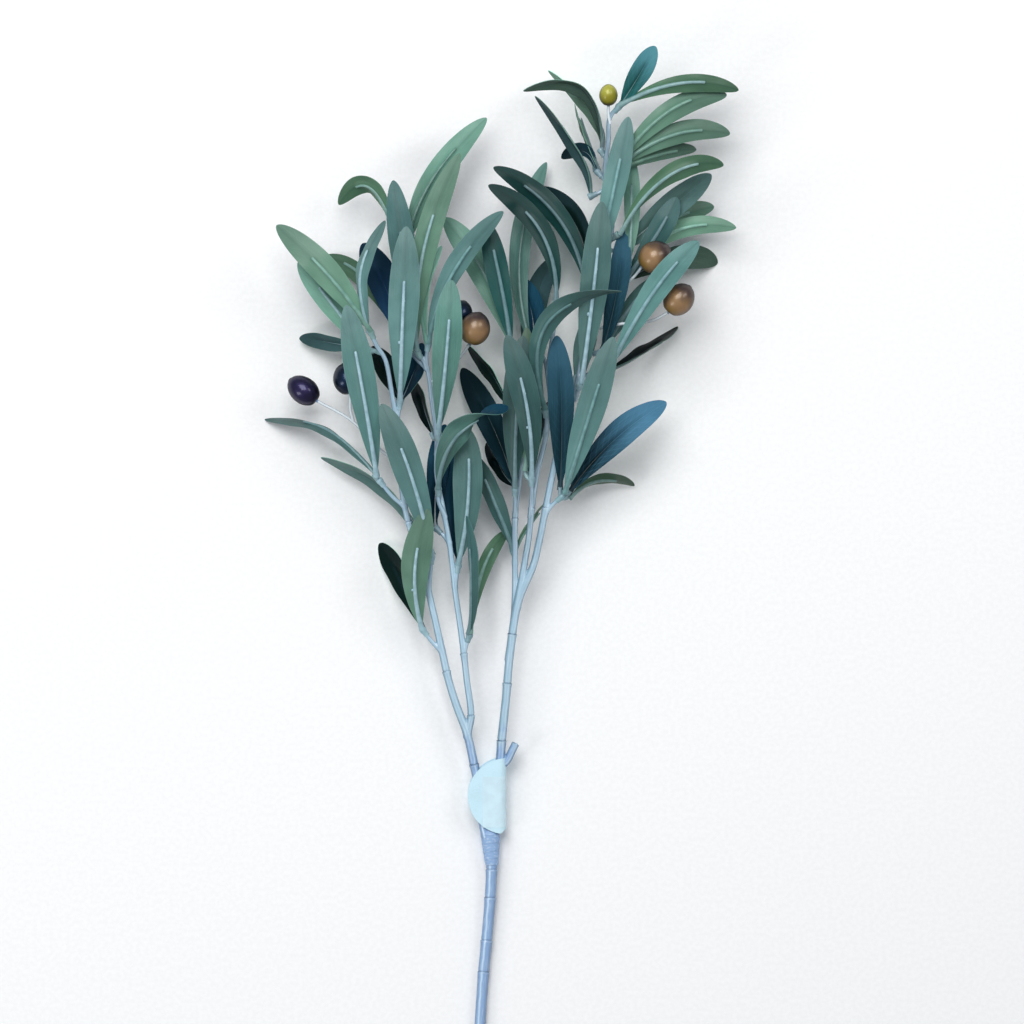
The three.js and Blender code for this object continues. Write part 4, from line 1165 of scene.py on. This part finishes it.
def fuse(skin, courses, web):
    """Draws a rough skin exactly onto the courses, softly webbed where they meet.

    Each corner gets its distance from the nearest ring, and a place on the stem's own grain.
    """
    margin, ring_reach = 0.007, 0.01  # how far from a course, and from a ring, a corner may be
    passes, stride = 4, 0.0004        # the skin is drawn in by passes, each no longer than this
    rows = places(skin.data)
    found = []
    for course in courses:
        low, high = course.points.min(0) - margin, course.points.max(0) + margin
        near = np.flatnonzero(((rows > low) & (rows < high)).all(1))
        tree = KDTree(len(course.points))
        for i, point in enumerate(course.points):
            tree.insert(point, i)
        tree.balance()
        found.append((course, near, np.array([tree.find(spot)[1] for spot in rows[near]], int)))
    nearest = np.full(len(rows), 1.0)
    ring = np.full(len(rows), ring_reach)
    grain = np.zeros((len(rows), 3))
    for step in range(passes):
        weights = np.full(len(rows), 1e-30)
        away = np.zeros((len(rows), 3))
        for course, near, at in found:
            off = rows[near] - course.points[at]
            past = (off * course.course[at]).sum(1)
            off -= past[:, None] * course.course[at]
            reach = np.linalg.norm(off, axis=1)
            out = off / reach.clip(1e-7)[:, None]
            gap = reach - course.radius[at]
            ending = np.where(at == 0, -past, np.where(at == len(course.points) - 1, past, -1))
            capped = ending > gap
            gap = np.where(capped, ending, gap)
            out = np.where(capped[:, None], np.sign(past)[:, None] * course.course[at], out)
            weight = np.exp((-gap / web).clip(-60, 60))
            weights[near] += weight
            away[near] += weight[:, None] * out
            if step == passes - 1:
                first = gap < nearest[near]
                mine, own = near[first], at[first]
                nearest[mine] = gap[first]
                ring[mine] = (course.ring[own] + past[first]).clip(-ring_reach, ring_reach)
                grain[mine] = np.stack([
                    (off[first] * course.side[own]).sum(1),
                    (off[first] * course.level[own]).sum(1),
                    course.along[own] + past[first]], 1)
        rows += away / weights[:, None] * (web * np.log(weights)).clip(-stride, stride)[:, None]
    rows[:, 2] = rows[:, 2].clip(FLOOR_GAP / 2)
    move_to(skin.data, rows)
    mark(skin.data, ring=ring, thin=np.zeros(len(rows)), grain=grain)


class SPRAY_OT_stems(bpy.types.Operator):
    """The three moulded stems with their rings, twigs and olive stalks."""
    bl_idname = "spray.stems"
    bl_label = "Stems"

    def execute(self, context):
        sizes = context.scene.spray_stem
        plastic = stem_plastic("painted_polyethylene_stem", sizes.low_colour, sizes.high_colour)
        for node_name, routes in ROUTES.items():
            courses = [Course(*route, sizes.voxel, sizes.lip) for route in routes]
            skin = joined([course.tube("tube") for course in courses if not course.thin], "skin")
            modifier(skin, "REMESH", mode="VOXEL", voxel_size=sizes.voxel)
            fuse(skin, [course for course in courses if not course.thin], sizes.web)
            stalks = [course.tube("stalk", 16, 2) for course in courses if course.thin]
            skin = joined([skin, *stalks], f"skin_{node_name}")
            skin.data.materials.append(plastic)
            keep(skin, node_name, degrees=60)
        return {"FINISHED"}


class SPRAY_OT_tape(bpy.types.Operator):
    """Florist's tape, wound up the fork in overlapping turns."""
    bl_idname = "spray.tape"
    bl_label = "Tape"

    def execute(self, context):
        sizes = context.scene.spray_stem
        # The tape starts on the stem, below the fork, and laps over the branches.
        below, lap, near = 0.019, 0.001, 0.004
        _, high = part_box("main_stem")
        left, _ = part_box("left_branch")
        start_y, end_y = high.y - below, left.y + lap
        length = end_y - start_y
        rows, around = 96, 64
        tape = drawn_tube("fork_tape", [(i / rows, 1.0, 1.0) for i in range(rows + 1)], around)
        x, t, z = places(tape.data).T
        angle = np.arctan2(z, x)
        turns = length / sizes.tape_pitch
        edge = (t * turns + angle / (2 * math.pi)) % 1
        # It grows from the stem's radius to hold both branches, and is pressed flatter at the top.
        stem_radius, growth, flatter = 0.0037, 0.0021, 0.4
        radius = stem_radius + growth * (t * 1.35).clip(0, 1) ** 0.8 + sizes.tape_step * (1 - edge)
        flat = 1 - flatter * ((t - 0.72) / 0.28).clip(0, 1)
        stem = welded("main_stem")[0]
        upper = stem[stem[:, 1] > high.y - lap].mean(0)
        lower = stem[(stem[:, 1] > start_y - near) & (stem[:, 1] < start_y + near)].mean(0)
        slope = (upper - lower) / (upper[1] - lower[1])
        centre = lower + np.outer(start_y + length * t - lower[1], slope)
        centre[:, 0] += radius * np.cos(angle)
        centre[:, 2] += radius * np.sin(angle) * flat
        move_to(tape.data, centre)
        outward(tape)
        tape.data.materials.append(
            stem_plastic("crepe_tape", sizes.low_colour, sizes.high_colour, taped=True))
        keep(tape, "main_stem", degrees=30)
        return {"FINISHED"}


# ---- olives ----

def olive_template():
    """An olive one unit long and wide, on +Y from its stalk, with a dimple and a small nipple."""
    fruit = added(bpy.ops.mesh.primitive_uv_sphere_add, "olive", segments=40, ring_count=28,
                  radius=0.5, rotation=(-math.pi / 2, 0, 0))
    bpy.ops.object.transform_apply()
    bpy.ops.object.mode_set(mode="EDIT")
    dimple, nipple = ((0.485, 0.022), (0.46, 0.012), (0.43, 0.006)), (0.49, 0.014)
    for reach, push in dimple:
        select_where(fruit, lambda co, y=reach: co.y < -y)
        bpy.ops.transform.translate(value=(0, push, 0))
    select_where(fruit, lambda co: co.y > nipple[0])
    bpy.ops.transform.translate(value=(0, nipple[1], 0))
    outward(fruit)
    # An olive is fuller towards its stalk.
    rows = places(fruit.data)
    fuller = 1 + 0.07 * np.sin(math.pi * (rows[:, 1] + 0.5)) * (0.5 - rows[:, 1])
    rows[:, 0] *= fuller
    rows[:, 2] *= fuller
    rows[:, 1] -= rows[:, 1].min()
    rows[:, 1] /= rows[:, 1].max()
    move_to(fruit.data, rows)
    mark(fruit.data, along=rows[:, 1])
    return fruit


class SPRAY_OT_olives(bpy.types.Operator):
    """The hanging olives, each with the peg that holds it on its stalk."""
    bl_idname = "spray.olives"
    bl_label = "Olives"

    def execute(self, context):
        paints = {slot: olive_paint(f"lacquered_foam_{slot}", codes)
                  for slot, codes in OLIVE_PAINTS.items()}
        plastic = bpy.data.materials["painted_polyethylene_stem"]
        fruit = olive_template()
        peg = drawn_tube("peg", [(place, radius, radius) for place, radius in PEG], 12)
        twigs = np.vstack([welded(name)[0] for name in BRANCH_NODES])
        for node_name in OLIVE_NODES:
            corners, _ = welded(node_name)
            centre = corners.mean(0)
            _, axes = np.linalg.eigh(np.cov((corners - centre).T))
            poles = corners[[np.argmin((corners - centre) @ axes[:, 2]),
                             np.argmax((corners - centre) @ axes[:, 2])]]
            reach = [np.linalg.norm(twigs - pole, axis=1).min() for pole in poles]
            stalk, free = poles if reach[0] < reach[1] else poles[::-1]
            length, course = np.linalg.norm(free - stalk), unit(free - stalk)
            off = corners - stalk
            width = 2 * np.linalg.norm(off - np.outer(off @ course, course), axis=1).max()
            body = copied(fruit, "body")
            body.data.transform(Matrix.Diagonal((width, length, width, 1)))
            aim(body.data, stalk, course)
            body.data.materials.append(paints[SLOTS[node_name]])
            pin = copied(peg, "pin")
            aim(pin.data, stalk, course)
            pin.data.materials.append(plastic)
            keep(joined([body, pin], f"fruit_{node_name}"), node_name, degrees=60)
        bpy.data.objects.remove(fruit)
        bpy.data.objects.remove(peg)
        return {"FINISHED"}


# ---- tag ----

def folded(rows, sizes):
    """Lays flat rows on the folded card: distance from the crease, share of the height, lift."""
    s, share, lift = rows.T
    quarter = math.pi / 2 * sizes.bend
    angle = (s / sizes.bend).clip(-math.pi / 2, math.pi / 2)
    past = (np.abs(s) - quarter).clip(0)
    radius = sizes.bend + lift
    outer = sizes.bend + sizes.card / 2
    x = -outer + radius * np.cos(angle) - past
    z = radius * np.sin(angle)
    # The card is round, but its lower edge is cut off at a slant by the crease.
    cut_share, cut_slope = 0.87, 0.85
    round_edge = np.sqrt((sizes.radius ** 2 - x ** 2).clip(1e-8))
    cut_corner = sizes.radius * cut_share - cut_slope * x
    y = np.where(share < 0, -np.minimum(round_edge, cut_corner), round_edge) * np.abs(share)
    return np.stack([x, y, z], 1)


class SPRAY_OT_tag(bpy.types.Operator):
    """A round card folded over the fork, with a plain sticker round its crease."""
    bl_idname = "spray.tag"
    bl_label = "Tag"

    def execute(self, context):
        sizes = context.scene.spray_tag
        low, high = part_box("tag")
        tilt = math.radians(7)
        middle = Vector((high.x, (low.y + high.y) / 2, (low.z + high.z) / 2))
        place = Matrix.Translation(middle) @ Matrix.Rotation(tilt, 4, "X")
        arc = math.pi / 2 * sizes.bend
        outer = sizes.bend + sizes.card / 2
        reach = sizes.radius - outer + arc - 1e-5

        card = added(bpy.ops.mesh.primitive_grid_add, "card_tag", x_subdivisions=96,
                     y_subdivisions=40, size=2)
        bpy.ops.object.mode_set(mode="EDIT")
        bpy.ops.transform.resize(value=(reach, 1, 1), center_override=(0, 0, 0))
        bpy.ops.object.mode_set(mode="OBJECT")
        # The columns are closest together at the round ends.
        rows = places(card.data)
        ends = np.abs(rows[:, 0]) / reach
        rows[:, 0] = np.sign(rows[:, 0]) * reach * (1 - (1 - ends) ** 1.6)
        rows[:, 1] *= -1
        move_to(card.data, folded(rows, sizes))
        outward(card, merge=1e-6)
        modifier(card, "SOLIDIFY", thickness=sizes.card, offset=0)
        card.data.transform(place)
        card.data.materials.append(card_stock(sizes.card_colour))
        keep(card, "tag")

        sticker = added(bpy.ops.mesh.primitive_grid_add, "plain_sticker", x_subdivisions=40,
                        y_subdivisions=24, size=2)
        length, breadth, corner = 0.031, 0.0155, 0.0012
        aside, down = 0.0052, 0.0035
        glue, film = 0.00008, 0.0001
        rows = places(sticker.data)
        blunt = (np.abs(rows[:, 0]) > 0.98) & (np.abs(rows[:, 1]) > 0.98)
        rows[:, 0] = rows[:, 0] * breadth / 2 + aside + arc / 2
        rows[:, 1] = rows[:, 1] * length / 2
        rows[blunt, 1] -= np.sign(rows[blunt, 1]) * corner
        lift = np.full(len(rows), sizes.card / 2 + glue)
        flat = folded(np.stack([rows[:, 0], np.zeros(len(rows)), lift], 1), sizes)
        flat[:, 1] = rows[:, 1] - down
        move_to(sticker.data, flat)
        outward(sticker)
        modifier(sticker, "SOLIDIFY", thickness=film, offset=0)
        sticker.data.transform(place)
        sticker.data.materials.append(sticker_film(sizes.sticker_colour))
        keep(sticker, "tag", replaces=False)
        return {"FINISHED"}


# ---- stage ----

def placed(name, data, place):
    """Stands a light or a camera in the scene."""
    made = bpy.data.objects.new(name, data)
    made.location = place
    bpy.context.collection.objects.link(made)
    return made


def soft_light(name, place, size, power, target):
    """A rectangular light that faces its target."""
    lamp = bpy.data.lights.new(name, "AREA")
    lamp.shape = "RECTANGLE"
    lamp.size, lamp.size_y = size
    lamp.energy = power
    stand = placed(name, lamp, place)
    stand.rotation_mode = "QUATERNION"
    stand.rotation_quaternion = (Vector(target) - Vector(place)).to_track_quat("-Z", "Y")


class SPRAY_OT_stage(bpy.types.Operator):
    """A pale floor, soft lights and a camera that looks straight down."""
    bl_idname = "spray.stage"
    bl_label = "Stage"

    def execute(self, context):
        scene = context.scene
        sizes = scene.spray_stage
        floor = added(bpy.ops.mesh.primitive_plane_add, "floor", size=40)
        floor.data.materials.append(studio_floor())

        world = bpy.data.worlds.new("white surround")
        world.use_nodes = True
        feed(world.node_tree.nodes["Background"],
             {"Color": opaque("#f6f9fc"), "Strength": sizes.sky})
        scene.world = world
        middle = (0.0, 0.05, 0.03)
        soft_light("top light", (-0.35, 1.15, 2.25), (1.5, 1.5), sizes.top, middle)
        soft_light("key light", (1.3, 0.9, 1.7), (0.7, 0.9), sizes.key, middle)
        soft_light("fill light", (-1.4, -0.7, 1.3), (0.5, 0.9), sizes.fill, middle)

        # The view is this wide at the level of the upper leaves. Its middle is a little right of
        # the spray's, and the lowest part of the stem runs out of it.
        across, level = 0.6144, 0.04
        middle_x, middle_y = 0.0067, 0.0463
        camera = bpy.data.cameras.new("camera")
        camera.lens = sizes.lens
        camera.sensor_width = 36
        camera.clip_end = 100
        away = across * sizes.lens / camera.sensor_width
        scene.camera = placed("camera", camera, (middle_x, middle_y, level + away))
        scene.view_settings.view_transform = "Standard"
        return {"FINISHED"}


class SPRAY_PT_panel(bpy.types.Panel):
    """Lists the steps that build the spray, and its sizes."""
    bl_idname = "SPRAY_PT_panel"
    bl_label = "Olive Spray"
    bl_space_type = "VIEW_3D"
    bl_region_type = "UI"
    bl_category = "Olive Spray"

    def draw(self, context):
        for step in STEPS:
            self.layout.operator(step.bl_idname)
        for name in GROUPS:
            group = getattr(context.scene, name)
            box = self.layout.box()
            for key in group.__annotations__:
                box.prop(group, key)


STEPS = (SPRAY_OT_stage, SPRAY_OT_stems, SPRAY_OT_tape, SPRAY_OT_leaves, SPRAY_OT_olives,
         SPRAY_OT_tag)
GROUPS = {
    "spray_leaf": LeafSizes,
    "spray_stem": StemSizes,
    "spray_tag": TagSizes,
    "spray_stage": StageSizes,
}


def register():
    for kind in (*GROUPS.values(), *STEPS, SPRAY_PT_panel):
        bpy.utils.register_class(kind)
    for name, kind in GROUPS.items():
        setattr(bpy.types.Scene, name, PointerProperty(type=kind))


def unregister():
    for name in GROUPS:
        delattr(bpy.types.Scene, name)
    for kind in (SPRAY_PT_panel, *reversed(STEPS), *reversed(GROUPS.values())):
        bpy.utils.unregister_class(kind)


def main():
    register()
    bpy.ops.spray.stage()
    bpy.ops.spray.stems()
    bpy.ops.spray.tape()
    bpy.ops.spray.leaves()
    bpy.ops.spray.olives()
    bpy.ops.spray.tag()


if __name__ == "__main__":
    main()
